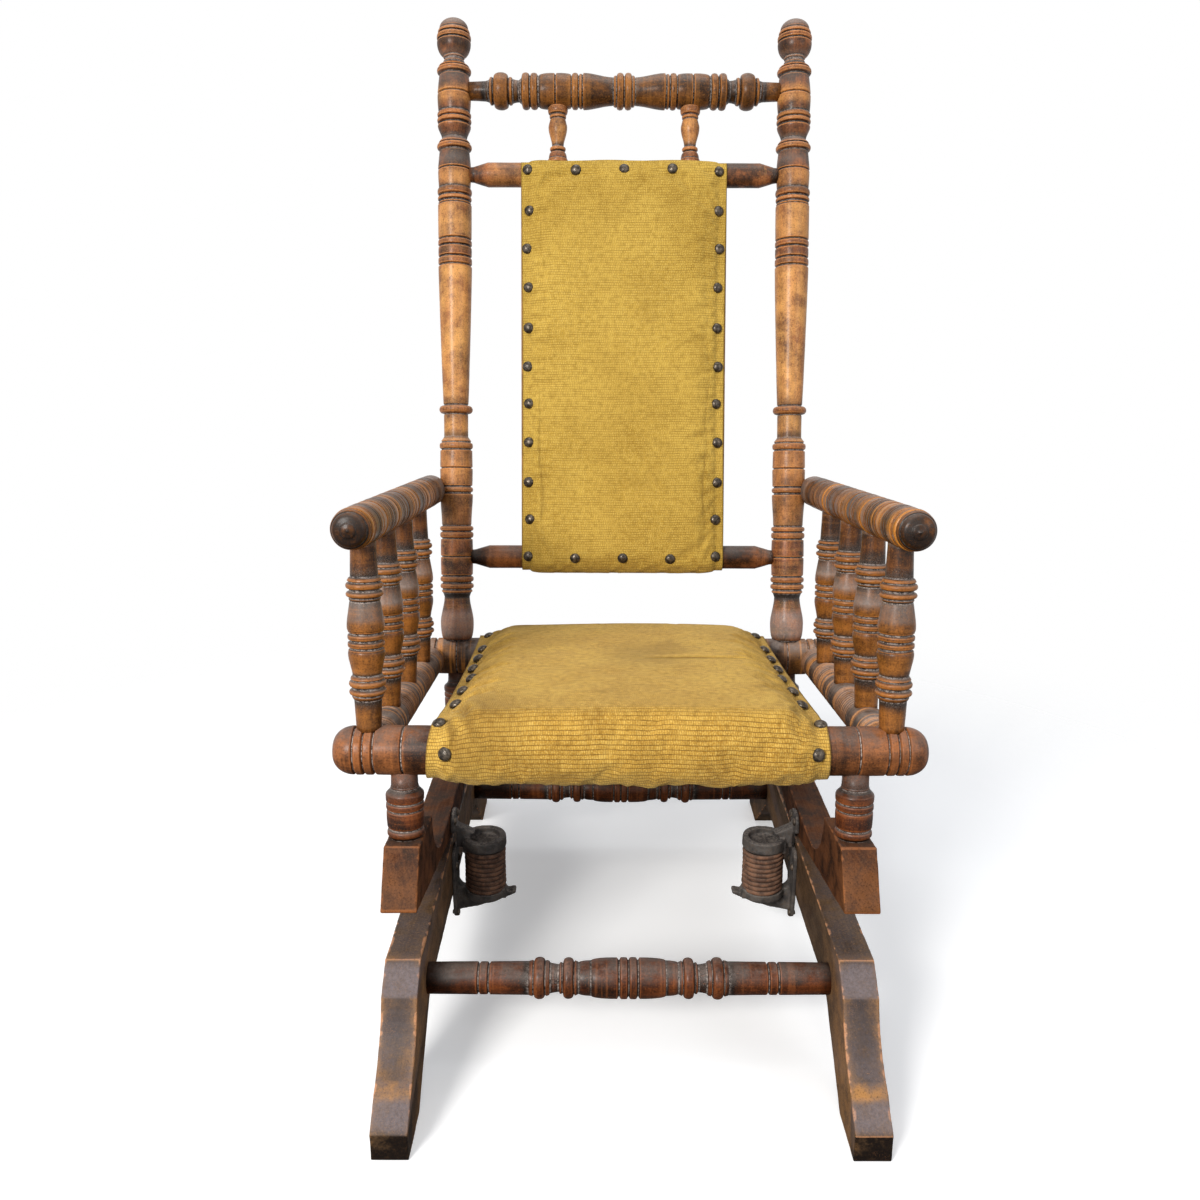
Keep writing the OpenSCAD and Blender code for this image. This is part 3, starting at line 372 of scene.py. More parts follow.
# radius at every quarter of a millimetre along the piece, its arrises rounded by use
def turnedProfile(rows, length, diameter, softness=0.3, step=0.25):
    rows = np.array([(*r, r[1])[:3] + (*r[3:], 0, 0)[:2] for r in rows], float)
    ends = np.concatenate([[0], np.cumsum(rows[:, 0])]) * length / rows[:, 0].sum()
    along = np.linspace(0, length, int(length / step) + 1)
    index = np.clip(np.searchsorted(ends, along, side="right") - 1, 0, len(rows) - 1)
    start, end, swell, bend = rows[index, 1:].T
    share = (along - ends[index]) / (ends[index + 1] - ends[index])
    # one run for each bend of 0, 1, -2 and -1
    runs = [share, share * share * (3 - 2 * share), 1 - np.sqrt(1 - share ** 2),
            np.sqrt(1 - (1 - share) ** 2)]
    run = np.choose(bend.astype(int) % 4, runs)
    radius = start + (end - start) * run + swell * 2 * np.sqrt(np.clip(share * (1 - share), 0, 1))
    worn = gaussian(radius * diameter / 2, softness, step)
    # a steep dome or end is neither a groove nor a ridge
    calm = 1 / (1 + (np.gradient(worn, step) / 1.4) ** 4)
    relief, crease = (calm * np.clip((worn - gaussian(worn, width, step)) / depth, -1, 1)
                      for width, depth in ((3.6, 1.15), (1.1, 0.28)))
    return along, worn, relief, crease


# keeps the points that the outline needs
def simplified(along, radius, tolerance=0.045):
    keep = np.zeros(len(along), bool)
    keep[[0, -1]] = True
    waiting = [(0, len(along) - 1)]
    while waiting:
        low, high = waiting.pop()
        if high - low < 2:
            continue
        x, y = along[low:high + 1] - along[low], radius[low:high + 1] - radius[low]
        off = np.abs(x * y[-1] - y * x[-1]) / math.hypot(x[-1], y[-1])
        worst = int(off.argmax())
        if off[worst] > tolerance or high - low > 60:
            worst = worst if off[worst] > tolerance else (high - low) // 2
            keep[low + worst] = True
            waiting += [(low, low + worst), (low + worst, high)]
    return keep


def finishTree(given, result, geometry):
    real = geometry.into("GeometryNodeRealizeInstances").into("GeometryNodeSetShadeSmooth")
    feed(result.inputs[0], real.into("GeometryNodeSetMaterial", None, given.material))


def turningTree():
    tree, g, result = startTree("turning", "Geometry", {"Geometry": "geometry", "Int": "sides",
                                                        "Material": "material"}, {"Geometry": "geometry"})
    width = put(tree, "GeometryNodeInputNamedAttribute", "width", data_type="FLOAT")
    circle = put(tree, "GeometryNodeCurvePrimitiveCircle", g.sides, mode="RADIUS")
    feed(circle.socket.node.inputs["Radius"], 1.0)
    skin = g.geometry.into("GeometryNodeMeshToCurve").into("GeometryNodeCurveToMesh", circle)
    feed(skin.socket.node.inputs["Scale"], width)
    closed = skin.into("GeometryNodeMergeByDistance")
    feed(closed.socket.node.inputs["Distance"], 1e-6)
    finishTree(g, result, closed)
    return tree


def treeResult(piece, tree, values):
    modifier = piece.modifiers.new("tree", "NODES")
    modifier.node_group = tree
    names = {s.name: s.identifier for s in tree.interface.items_tree if s.in_out == "INPUT"}
    for key, value in values.items():
        modifier[names[key]] = value
    bpy.context.view_layer.update()
    graph = bpy.context.evaluated_depsgraph_get()
    piece.data = bpy.data.meshes.new_from_object(piece.evaluated_get(graph), preserve_all_data_layers=True,
                                                 depsgraph=graph)
    piece.modifiers.clear()
    return piece.data


turning = turningTree()


def lathed(name, along, radius, values, **layers):
    count = len(along)
    line = meshFrom(name, [(0, 0, z * mm) for z in along], [], edges=[(i, i + 1) for i in range(count - 1)])
    for what, numbers in {"width": np.array(radius) * mm, **layers}.items():
        store(line, what, numbers)
    piece = meshObject(name, line)
    outward(treeResult(piece, turning, values))
    return piece


pieceCount = [0]


def turnedPiece(name, kind, matrix, node, length=None, wood=None, body="chair"):
    look = turnedLooks[kind]
    along, radius, relief, crease = turnedProfile(look["rows"], length or look["length"], look["diameter"])
    keep = simplified(along, radius) | (np.abs(np.gradient(crease)) > 0.12)
    # the poles sit a hair outside the end rings so that the line has no doubled point
    along = np.concatenate([[along[0] - 0.01], along[keep], [along[-1] + 0.01]])
    radius, relief, crease = (np.concatenate([[pole], values[keep], [pole]])
                              for pole, values in ((1e-4, radius), (0, relief), (0, crease)))
    values = {"sides": look.get("sides", 56), "material": woods[wood or look["wood"]]}
    piece = lathed(name, along, radius, values, relief=relief, crease=crease)
    mesh = piece.data
    points = coordinates(mesh)
    pieceCount[0] += 1
    seed = pieceCount[0]
    # light dents and flats from a century of use
    knocked = np.abs(knocks(points, (60, 60, 45), (seed * 7.1, 0, 0)))[:, None]
    reach = np.linalg.norm(points[:, :2], axis=1, keepdims=True)
    points[:, :2] *= 1 - np.where(reach > 1e-3, 0.00022 * knocked / np.maximum(reach, 1e-3), 0)
    c, s = math.cos(seed * 2.4), math.sin(seed * 2.4)
    store(mesh, "grain", points @ np.array([[c, s, 0], [-s, c, 0], [0, 0, 1]]).T
          + np.array([0.013 * (seed % 5), 0.017 * (seed % 7), 0.9 * seed]))
    height = points[:, 2] / mm
    for what in ("bare", "soot", "film"):
        cover = [np.clip(np.minimum(height - start, end - height) / 7 + 0.5, 0, 1) * share
                 for start, end, share in look.get(what, ())]
        store(mesh, what, np.max([height * 0] + cover, axis=0))
    mesh.vertices.foreach_set("co", points.ravel())
    mesh.transform(matrix)
    mesh.update()
    finishPiece(piece, body, node)


def cut(width, depth, top=0.97):
    return [(width * 0.4, top, top - depth), (width * 0.2, top - depth), (width * 0.4, top - depth, top)]


def bead(width, foot, swell, gap=1.1):
    return [(gap / 2, foot), (width - gap, foot + 0.02, foot + 0.02, swell - 0.02), (gap / 2, foot)]


railEnd = [
    (19.5, 0.3, 0.985, 0, -1), *cut(2.6, 0.1, 0.985), (6, 0.985, 0.985, 0.01), *cut(3, 0.13, 0.985),
    (6.4, 0.985, 0.985, 0.01), *cut(3.2, 0.13, 0.985), (23.5, 0.985, 0.995, 0.01), *cut(2.8, 0.09, 0.995)]
railRows = [*railEnd, (418, 0.995), *mirrored(railEnd)]
sideBarrel = [(22, 0.95, 0.97, 0.02), *cut(1.6, 0.08, 0.97), (22, 0.97, 0.95, 0.02)]
sideEnd = [(4, 0.62), (5, 0.7, 0.86, 0.04), *bead(5, 0.84, 0.14) * 4, (2, 0.9, 0.95)]
sideRows = [
    *sideEnd, *sideBarrel, *bead(5, 0.84, 0.14) * 10, *sideBarrel, *bead(5, 0.84, 0.14) * 10, *sideBarrel,
    *mirrored(sideEnd)]
doubleBead = [
    (2.8, 0.78, 0.86), (0.9, 0.8), *bead(5.6, 0.82, 0.17, 0.8), (1.6, 0.8), *bead(6.4, 0.82, 0.17, 0.8),
    (0.9, 0.82), (3, 0.92, 0.82)]
spindleRows = [
    (4, 0.68), (25, 0.68, 0.74), *doubleBead, (22, 0.76, 0.96, 0.04, 1), (1.8, 0.95), (2, 0.84),
    (4.6, 0.94, 0.94, 0.04), (2.2, 0.82), (4.6, 0.94, 0.94, 0.04), (2, 0.84), (1.8, 0.95),
    (25, 0.97, 0.8, 0.05, 1), *doubleBead, (27, 0.74, 0.68), (4, 0.68)]
fineRings = [*cut(1.6, 0.07, 0.985), (4.6, 0.97, 0.97, 0.02), *cut(1.6, 0.07, 0.985)]
armUnit = [
    (12, 0.955, 0.985, 0.01), *fineRings, (9, 0.985, 0.985, 0.01), *cut(2, 0.09, 0.985),
    (13, 0.985, 0.955, 0.01), (1.6, 0.9), (5, 0.94, 0.94, 0.05), (1.6, 0.9), (8, 0.95, 0.985, 0.01),
    *fineRings, (6, 0.985, 0.985, 0.01), *fineRings, (15, 0.985, 0.95, 0.01), (1.4, 0.89),
    (6, 0.93, 0.93, 0.06), (1.4, 0.89)]
armRows = [
    (0.5, 0, 0.06), (0.9, 0.1, 0.12), (1.2, 0.2, 0.36, 0, -1), (0.7, 0.34, 0.36), (4.6, 0.4, 0.8, 0, -1),
    (1.2, 0.78, 0.8), (4.4, 0.86, 0.93, 0.02), (2, 0.86), (7, 0.94, 0.955, 0.03), (1.6, 0.87),
    (3.6, 0.93, 0.93, 0.04), (1.6, 0.87), *armUnit * 3, (12, 0.955, 0.985, 0.01), *fineRings,
    (16, 0.985, 0.985, 0.01), *fineRings, (20, 0.985, 0.97), (5, 0.93, 0.93, 0.05), (18, 0.95, 0.5, 0, -2)]
finialRows = [
    (6.8, 0.88, 0.88, 0.12), (1.2, 0.82), (5.4, 0.9, 0.62, 0, 1), (2.4, 0.58, 0.58, 0.04), (3.2, 0.54, 0.52),
    (2.3, 0.6, 0.6, 0.02), (17.4, 0.54, 0.975, 0.02, -1), (1.8, 0.89), (5.8, 0.965, 0.955, 0.035),
    (1.6, 0.84), (4.2, 0.92, 0.87, 0.03), (1.5, 0.8), (12.7, 0.84, 0, 0, -2)]
postRows = [
    (2.1, 0.76, 0.8), (21, 0.8, 0.99, 0, -1), (33, 0.99, 0.76, 0, 1), (5.4, 0.76, 0.85),
    (3.1, 0.88, 0.88, 0.04), (2, 0.86), (6, 0.91, 0.91, 0.09), (2.5, 0.86), (6.5, 0.91, 0.91, 0.09),
    (2.1, 0.87), (22, 0.945, 0.96, 0.01), *cut(2.2, 0.1, 0.96), (20.7, 0.96, 0.945, 0.01), (1.8, 0.86),
    (7.2, 0.91, 0.91, 0.09), (1.5, 0.86), (5.8, 0.91, 0.91, 0.09), (1.7, 0.85), (38.5, 0.88, 0.975, 0, 1),
    (2.5, 0.86), (6, 0.91, 0.91, 0.08), (2, 0.86), (21.1, 0.945, 0.965, 0.01), *cut(2.2, 0.1, 0.965),
    (20.7, 0.965, 0.95), (2, 0.87), (7.3, 0.91, 0.91, 0.08), (1.9, 0.86), (1.5, 0.88, 0.86, 0.02),
    (3.7, 0.84, 0.74, 0, 1), (27.6, 0.715, 0.72), (1.8, 0.7), (9.6, 0.78, 0.78, 0.21), (1.7, 0.7),
    (168.8, 0.74, 0.985, 0.02), *cut(3.2, 0.12, 0.98), (6.7, 0.98, 0.98, 0.01), *cut(3.2, 0.13, 0.98),
    (10, 0.97, 0.97, 0.01), *cut(3.2, 0.13, 0.98), (5.3, 0.98, 0.98, 0.01), *cut(3, 0.12, 0.98),
    (40.4, 0.975, 0.985, 0.005), (1.2, 0.9), (1.8, 0.95, 0.95, 0.01), (2.2, 0.85), (4.6, 0.93, 0.93, 0.06),
    (2.2, 0.84), (7.8, 0.92, 0.92, 0.09), (21.7, 0.91, 0.96, 0.02), *cut(2.2, 0.1, 0.965),
    (20.7, 0.965, 0.87, 0.01), (2.1, 0.82), (6.8, 0.9, 0.9, 0.12), (1.2, 0.82), (5.2, 0.92, 0.75, 0, 1),
    (1.4, 0.7), (15, 0.73, 0.96, 0.02, 1), (2.6, 0.82), (5.2, 0.91, 0.91, 0.09), (1.6, 0.84),
    (5.4, 0.91, 0.91, 0.08), (21.4, 0.9, 0.965, 0.03), *cut(2.4, 0.12, 0.965), (20.6, 0.965, 0.86, 0.01),
    (2.2, 0.8), *finialRows]
legRows = [
    (13.5, 0.68, 0.7), (1.5, 0.7, 0.74), (1, 0.72), (5.4, 0.76, 0.98, 0, 1), (6, 0.985, 0.975, 0.005),
    *cut(2.4, 0.11, 0.97), (5, 0.96, 0.96, 0.02), *cut(2.4, 0.11, 0.96), (15, 0.95, 0.93, 0.02),
    *cut(3, 0.12, 0.94), (5, 0.91, 0.91, 0.05), (3, 0.9, 0.8)]
barMid = [
    (24, 0.84, 0.97, 0.01, -1), *cut(3, 0.12), (6, 0.97, 0.97, 0.02), *cut(2.6, 0.12), (6, 0.97, 0.97, 0.02),
    *cut(3, 0.12), (24, 0.97, 0.84, 0.01, -2)]
barHalf = [
    (46, 0.76, 0.78), *cut(2.8, 0.11, 0.78), (6.4, 0.77, 0.77, 0.01), *cut(2.8, 0.11, 0.78), (36, 0.78, 0.8),
    (3.4, 0.82, 0.86), (1, 0.8), (10, 0.82, 0.82, 0.18), (1, 0.8), (3.4, 0.86, 0.8), (9, 0.74, 0.66, -0.02),
    (2.6, 0.72, 0.72, 0.03), (1, 0.7), (9.6, 0.8, 0.8, 0.18), (1, 0.76), (3.4, 0.84, 0.76),
    (12, 0.72, 0.84, 0, -1)]
stretcherRows = [*barHalf, *barMid, *mirrored(barHalf)]
crestHalf = [
    (19, 0.5, 0.54), (4, 0.56, 0.7, 0, -2), (3.4, 0.73, 0.73, 0.02), (1, 0.68), (16, 0.77, 0.77, 0.23),
    (1, 0.68), (3.4, 0.74, 0.72, 0.02), (8.4, 0.68, 0.6, -0.04), (2.6, 0.64, 0.84, 0, -2),
    (8.4, 0.84, 0.84, 0.15), (1.2, 0.82), (7.8, 0.84, 0.84, 0.14), (1.8, 0.82, 0.84),
    (17, 0.84, 0.955, 0.02, -1), *cut(2, 0.1, 0.96), (16.4, 0.955, 0.87, 0.02, -2), (1, 0.82),
    (7, 0.86, 0.86, 0.12), (1, 0.83), (3.6, 0.88, 0.88, 0.05), (0.8, 0.86), (33, 0.97, 0.75, 0.01, 1),
    (1, 0.73), (2.4, 0.8, 0.86)]
crestRows = [
    *crestHalf, (1, 0.82), (7.6, 0.85, 0.85, 0.14), (1.4, 0.82), (7.6, 0.85, 0.85, 0.14), (1, 0.82),
    *mirrored(crestHalf)]
backRailEnd = [(5, 0.6, 0.64), (17, 0.64, 0.985, 0.01)]
backRailRows = [*backRailEnd, (334, 1), *mirrored(backRailEnd)]
crestSpindleRows = [
    (4.2, 0.6), (4.6, 0.95, 0.97, 0.03), (8, 0.92, 0.64, 0, -2), (1, 0.56), (4.6, 0.66, 0.66, 0.14),
    (1.2, 0.56), (20, 0.58, 0.93, 0.01, 1), (9.6, 0.93, 0.78, 0.03, 1), (1.2, 0.68), (3.6, 0.78, 0.78, 0.06),
    (1, 0.72), (9, 0.82, 0.82, 0.18), (4.6, 0.6)]

# what each kind of turned piece is like; bare wood, soot, which is dark old finish, and a film of dust and
# painted highlights are stretches along it, each from and to a height in mm and with its strength
turnedLooks = {
    "rail": {"rows": railRows, "length": 546, "diameter": 45.8, "sides": 64,
             "soot": [(76, 96, 0.5), (456, 476, 0.5)], "bare": [(20, 60, 0.4), (480, 530, 0.5)]},
    "sideRail": {"rows": sideRows, "diameter": 37, "wood": "greyWood"},
    "arm": {"rows": armRows, "length": 486, "diameter": 2 * places["armR"], "sides": 64, "wood": "armWood",
            "soot": [(-20, 13, 0.95), (42, 58, 0.7), (102, 122, 0.6), (180, 204, 0.6), (262, 300, 0.6),
                     (370, 460, 0.6)],
            "bare": [(15, 26, 0.7), (62, 84, 0.6), (130, 158, 0.5), (210, 240, 0.55), (310, 340, 0.4)],
            "film": [(425, 500, 0.28)]},
    "armSpindle": {"rows": spindleRows, "diameter": 34, "sides": 48, "wood": "spindleWood",
                   "bare": [(2, 26, 0.45), (54, 72, 0.5), (92, 106, 0.45)], "film": [(106, 118, 0.6)],
                   "soot": [(138, 170, 0.3), (106, 116, 0.3)]},
    "post": {"rows": postRows, "diameter": 42, "sides": 64, "wood": "postWood",
             "bare": [(298, 467, 1), (500, 541, 0.85), (196, 240, 0.4), (250, 284, 0.95), (146, 186, 0.35),
                      (561, 581, 0.6), (662, 682, 0.6)],
             "soot": [(751, 770, 0.85), (721, 738, 0.75), (683, 700, 0.75), (655, 662, 0.6), (621, 642, 0.6),
                      (586, 602, 0.8), (556, 563, 0.6)],
             # the post's film is dust with a painted highlight on the bulb and painted sky reflection on the
             # barrel tops
             "film": [(751, 770, 0.3), (714, 722, 0.3), (684, 698, 0.15), (616, 622, 0.3), (588, 602, 0.2),
                      (6, 40, 0.45)]},
    "leg": {"rows": legRows, "diameter": 36, "wood": "footWood", "bare": [(1, 14, 0.7)],
            "soot": [(15, 24, 0.6)]},
    "crestSpindle": {"rows": crestSpindleRows, "length": 77.85, "diameter": 24.5, "sides": 40,
                     "wood": "postWood", "bare": [(28, 58, 0.7)]},
    "crest": {"rows": crestRows, "diameter": 43, "soot": [(-9, 30, 0.5), (302, 350, 0.5)],
              "bare": [(120, 142, 0.4), (186, 206, 0.4)]},
    "backRail": {"rows": backRailRows, "diameter": 29, "soot": [(-9, 18, 0.8), (314, 350, 0.8)],
                 "bare": [(24, 310, 0.35)]},
    "stretcher": {"rows": stretcherRows, "diameter": 39, "wood": "footWood",
                  "soot": [(-5, 40, 0.7), (372, 430, 0.5)]},
}
depth = places["seatDepth"]
acrossTurn, backTurn = turn(90, "Y"), turn(-90, "X")
dip = places["railR"] * 0.15
sideStart = places["railR"] - dip
for end, y, wood in (("front", 0, "railWood"), ("rear", depth, "greyWood")):
    start = move(-turnedLooks["rail"]["length"] / 2, y, 0)
    turnedPiece(f"{end}SeatRail", "rail", seatFrame @ start @ acrossTurn, f"{end}_rail", wood=wood)
for side, s in sides.items():
    legX, sideX = s * places["legX"], s * places["sideX"]
    turnedPiece(f"sideRail_{side}", "sideRail", seatFrame @ move(sideX, sideStart, 0) @ backTurn,
                f"side_rail_{side}", depth - 2 * sideStart)
    armStart = move(sideX, places["armFrontY"], places["armZ"])
    turnedPiece(f"armRest_{side}", "arm", seatFrame @ armStart @ backTurn, f"arm_{side}")
    for i in range(4):
        footZ = (places["spindleFootZ"] if i else places["railR"]) - dip
        turnedPiece(f"armSpindle_{side}_{i + 1}", "armSpindle",
                    seatFrame @ move(sideX, i * depth / 4, footZ), f"arm_spindle_{side}_{i + 1}",
                    places["armZ"] - places["armR"] + dip - footZ)
    turnedPiece(f"backPost_{side}", "post", backFrame @ move(legX, 0, sideStart), f"post_{side}",
                places["postTopZ"] - sideStart)
    for end, y, length in (("front", 0, 61), ("rear", depth, 55)):
        turnedPiece(f"{end}Leg_{side}", "leg", seatFrame @ move(legX, y, dip - places["railR"])
                    @ turn(180, "X"), f"{end}_leg_{side}", length + dip)
    turnedPiece(f"crestSpindle_{side}", "crestSpindle",
                backFrame @ move(s * places["crestSpindleX"], 0, places["crestSpindleZ"]),
                f"crest_spindle_{side}")
postInner = places["legX"] - turnedLooks["post"]["diameter"] / 2 * 0.9
for name, kind, node, place, wood in (
        ("crestBackRail", "crest", "crest_rail", "crestZ", "crestWood"),
        ("upperBackRail", "backRail", "upper_back_rail", "upperRailZ", "postWood"),
        ("lowerBackRail", "backRail", "lower_back_rail", "lowerRailZ", "railWood")):
    turnedPiece(name, kind, backFrame @ move(-postInner, 0, places[place]) @ acrossTurn, node, 2 * postInner,
                wood)
boardInner = places["legX"] - places["boardT"] / 2
for end, y in (("front", -19.796), ("rear", 395.756)):
    turnedPiece(f"{end}Stretcher", "stretcher",
                floorFrame @ move(-boardInner, y, places["stretcherZ"]) @ acrossTurn, f"{end}_stretcher",
                2 * boardInner, body="base")
print("turned pieces ready")


# Sawn boards. Rounds the sharp corners and keeps closely spaced points beside them
def eased(corners, radius=3.2, steps=5):
    made, marks, tight = [], [], []
    for a, b, c in zip(np.roll(corners, 1, axis=0), corners, np.roll(corners, -1, axis=0)):
        before, after = np.linalg.norm(b - a), np.linalg.norm(c - b)
        into, out = (b - a) / before, (c - b) / after
        bend = math.atan2(into[0] * out[1] - into[1] * out[0], into @ out)
        if abs(bend) < math.radians(9):
            made.append(b)
            marks.append(0)
            continue
        slope = math.tan(abs(bend) / 2)
        back = min(radius * slope, 0.3 * before, 0.3 * after)
        tight.append((b, 0.3 * back / slope))
        for k in range(steps + 1):
            t = k / steps
            made.append((b - into * back) * (1 - t) ** 2 + b * 2 * t * (1 - t) + (b + out * back) * t * t)
            marks.append((1 if bend > 0 else -1) * min(1, abs(bend)) * math.sin(math.pi * (0.2 + 0.6 * t)))
    points, tags = [], []
    for a, b, mark in zip(made, made[1:] + made[:1], marks):
        run = np.linalg.norm(b - a)
        stops = [d for d in [1.3, 3, *np.arange(8, run / 2, 5)] if d < run / 2 - 0.5]
        for d in [0] + stops + [run - d for d in reversed(stops)]:
            points.append(a + (b - a) * d / run)
            tags.append(0 if d else mark)
    points = np.array(points)
    room = np.min([np.full(len(points), 9.0)] + [r + 0.2 * np.linalg.norm(points - place, axis=1)
                                                 for place, r in tight], axis=0)
    return points, np.array(tags), room


def sawnBoard(name, corners, side, body, node, material, shade):
    corners, s = np.array(corners, float), sides[side]
    following = np.roll(corners, -1, axis=0)
    if (corners[:, 0] * following[:, 1] - following[:, 0] * corners[:, 1]).sum() < 0:
        corners = corners[::-1]
    points, tags, room = eased(corners)
    count = len(points)
    steps = np.roll(points, -1, axis=0) - points
    steps /= np.linalg.norm(steps, axis=1)[:, None]
    along = steps + np.roll(steps, 1, axis=0)
    inward = np.stack([-along[:, 1], along[:, 0]], 1)
    inward /= np.linalg.norm(inward, axis=1)[:, None]
    seed = 3.7 if side == "left" else 11.3
    flat = np.column_stack([points, np.zeros(count)])
    rough, fine = knocks(flat, 0.05, (0, 0, seed)), knocks(flat, 0.23, (0, 0, seed + 5))
    worn = np.minimum(np.clip(1.5 + 1.1 * rough + 0.9 * fine, 0.6, 2.7), room)

    # the rounded arris in steps: inset, drop and how much it shows as an edge
    levels = [(1.35, 0, 0), (1, 0, 0.25)]
    levels += [(1 - math.sin(math.radians(a)), 1 - math.cos(math.radians(a)), shown)
               for a, shown in ((25, 1), (50, 1), (72, 0.6), (90, 0.6))]
    levels += [(0, 1.7, 0.1), (0, 3.6, 0)]

    def ring(face, inset, drop):
        inset = points + inward * (worn * inset)[:, None]
        return np.column_stack([face * (places["boardT"] / 2 - worn * drop), inset])

    rows = [ring(1, inset, drop) for inset, drop, _ in levels] + [ring(0, 0, 0)]
    rows += [ring(-1, inset, drop) for inset, drop, _ in reversed(levels)]
    shares = [shown for *_, shown in levels]
    shares = shares + [0] + shares[::-1]
    bridge = np.clip(tags * 0.9 * np.clip(0.6 + fine, 0.2, 1), -0.4, 1)
    edges = [1.5 * np.maximum(share * np.clip(0.45 + 1.3 * fine + 0.5 * rough, 0, 1), bridge)
             for share in shares]
    edges[0] = edges[-1] = bridge * 0
    skin = np.concatenate(rows)
    faces = [tuple(range(count)), tuple(reversed(range(len(skin) - count, len(skin))))]
    for r in range(0, len(skin) - count, count):
        faces += [(r + j, r + i, r + count + i, r + count + j) for i in range(count)
                  for j in [(i + 1) % count]]
    # shallow saw waves and knocks on the edges
    wave = knocks(skin, (0.03, 0.045, 0.045), (0, 0, seed))
    wave[:count] = wave[-count:] = 0
    skin[:, 1:] += np.tile(inward, (len(rows), 1)) * (0.35 * wave)[:, None]
    mesh = meshFrom(name, skin * mm, faces)
    outward(mesh)
    store(mesh, "crease", np.concatenate(edges))
    for what, values in zip(("soot", "film", "bare"), shade(skin)):
        store(mesh, what, values)
    mesh.transform(floorFrame @ move(s * places["legX"], 0, 0))
    store(mesh, "grain", coordinates(mesh)[:, [0, 2, 1]] + np.array([0.4, 0.2 * s, s]))
    mesh.materials.append(woods[material])
    finishPiece(meshObject(name, mesh), body, node)


def bowed(a, b, sag, steps=8):
    a, b = np.array(a), np.array(b)
    across = np.array([-(b - a)[1], (b - a)[0]]) / np.linalg.norm(b - a)
    return [tuple(a + (b - a) * t + across * sag * 4 * t * (1 - t)) for t in np.arange(1, steps) / steps]


def arcPoints(y, z, r, start, end, steps=14):
    angles = [math.radians(start + (end - start) * i / steps) for i in range(steps + 1)]
    return [(y + r * math.cos(a), z + r * math.sin(a)) for a in angles]


def fromSeat(y, z):
    a = math.radians(places["seatSlope"])
    return y * math.cos(a) + z * math.sin(a), z * math.cos(a) - y * math.sin(a) + places["seatZ"]


baseLook = {"length": 688, "toeY": -156.02, "midY": 187.98, "top": 132, "depth": 61, "toe": 27}
rockLook = {"rockY": 210, "contactZ": 132.3, "nose": 16, "frontAngle": 10.9, "backAngle": 7.4,
            "frontTipY": -64.52, "rearTipY": 429.514, "waistZ": 170, "frontBlock": (-24.84, 51.84),
            "rearBlock": (338.16, 414.84), "frontTopZ": -83.9, "rearTopZ": -77.9}


def baseOutline():
    b = SimpleNamespace(**baseLook)
    toe, long, top = b.toeY, b.length, b.top
    calfTop, calfFoot = (toe + long * 0.11, top * 0.83), (toe + long * 0.036, top * 0.37)
    half = [(b.midY, top - b.depth * 1.03), (toe + long * 0.255, top - b.depth),
            (toe + long * 0.205, top * 0.5), (toe + long * 0.084, 0), (toe, 0), (toe, b.toe), calfFoot,
            *bowed(calfFoot, calfTop, -long * 0.011), calfTop, (toe + long * 0.148, top)]
    return half + [(2 * b.midY - y, z) for y, z in reversed(half[1:])]


def rockerOutline():
    r = SimpleNamespace(**rockLook)

    def flank(y, angle):
        return y, r.contactZ + abs(y - r.rockY) * math.tan(math.radians(angle))

    first, front = (fromSeat(y, r.frontTopZ) for y in r.frontBlock)
    rear, last = (fromSeat(y, r.rearTopZ) for y in r.rearBlock)
    frontR, rearR = front[1] - r.waistZ, rear[1] - r.waistZ
    return [flank(r.frontTipY, r.frontAngle),
            *arcPoints(r.rockY, r.contactZ + r.nose, r.nose, 270 - r.frontAngle, 270 + r.backAngle),
            flank(r.rearTipY, r.backAngle), last, rear,
            *arcPoints(rear[0] - rearR, rear[1], rearR, 360, 270)[1:],
            *arcPoints(front[0] + frontR, front[1], frontR, 270, 180)[:-1], front, first]


# soot, a film that is painted blue-grey sheen with a little dust on top, and bare wood on the base's facets,
# which are told apart by their height at the two ends
def baseShade(p):
    z = p[:, 2]
    side = np.abs(p[:, 0]) / (places["boardT"] / 2)
    reach = np.abs(p[:, 1] - baseLook["midY"])
    foot = np.clip((reach - 232) / 10, 0, 1)

    def band(low, high, soft=3.0):
        return np.clip(np.minimum(z - low, high - z) / soft + 0.5, 0, 1) * foot

    outer = np.clip((reach - 336) / 4, 0, 1) * np.clip((28 - z) / 2, 0, 1)
    calf = band(52, 110)
    soot = outer + 0.7 * calf * np.clip(1.25 - side, 0, 1) + 0.25 * band(110, 140)
    # painted sheen: the upper facet, the toe facet and the calf take the blue-grey film, and a little dust
    # lies on top
    film = 0.55 * band(110, 129) + 0.45 * band(29, 46) + 0.15 * calf + 0.1 * foot * (z > 128)
    bare = (1.3 * band(46, 54, 2) + 0.8 * calf * np.clip((side - 0.55) / 0.4, 0, 1)
            + 0.5 * foot * np.clip((side - 0.8) / 0.2, 0, 1) + 0.8 * foot * (z > 131))
    return [np.clip(values, 0, 1) for values in (soot, film, bare)]


def rockerShade(p):
    under = np.clip((150 - p[:, 2]) / 15, 0, 1) * 0.5
    stain = np.exp(-(((p[:, 1] + 66) / 8) ** 2 + ((p[:, 2] - 214) / 10) ** 2)) * 0.6
    return np.maximum(under, stain), np.zeros(len(p)), np.clip((-40 - p[:, 1]) / 12, 0, 1) * 0.6


for side in sides:
    sawnBoard(f"baseSide_{side}", baseOutline(), side, "base", f"base_side_{side}", "baseWood", baseShade)
    sawnBoard(f"rockerBoard_{side}", rockerOutline(), side, "chair", f"rocker_{side}", "rockerWood",
              rockerShade)
print("boards ready")


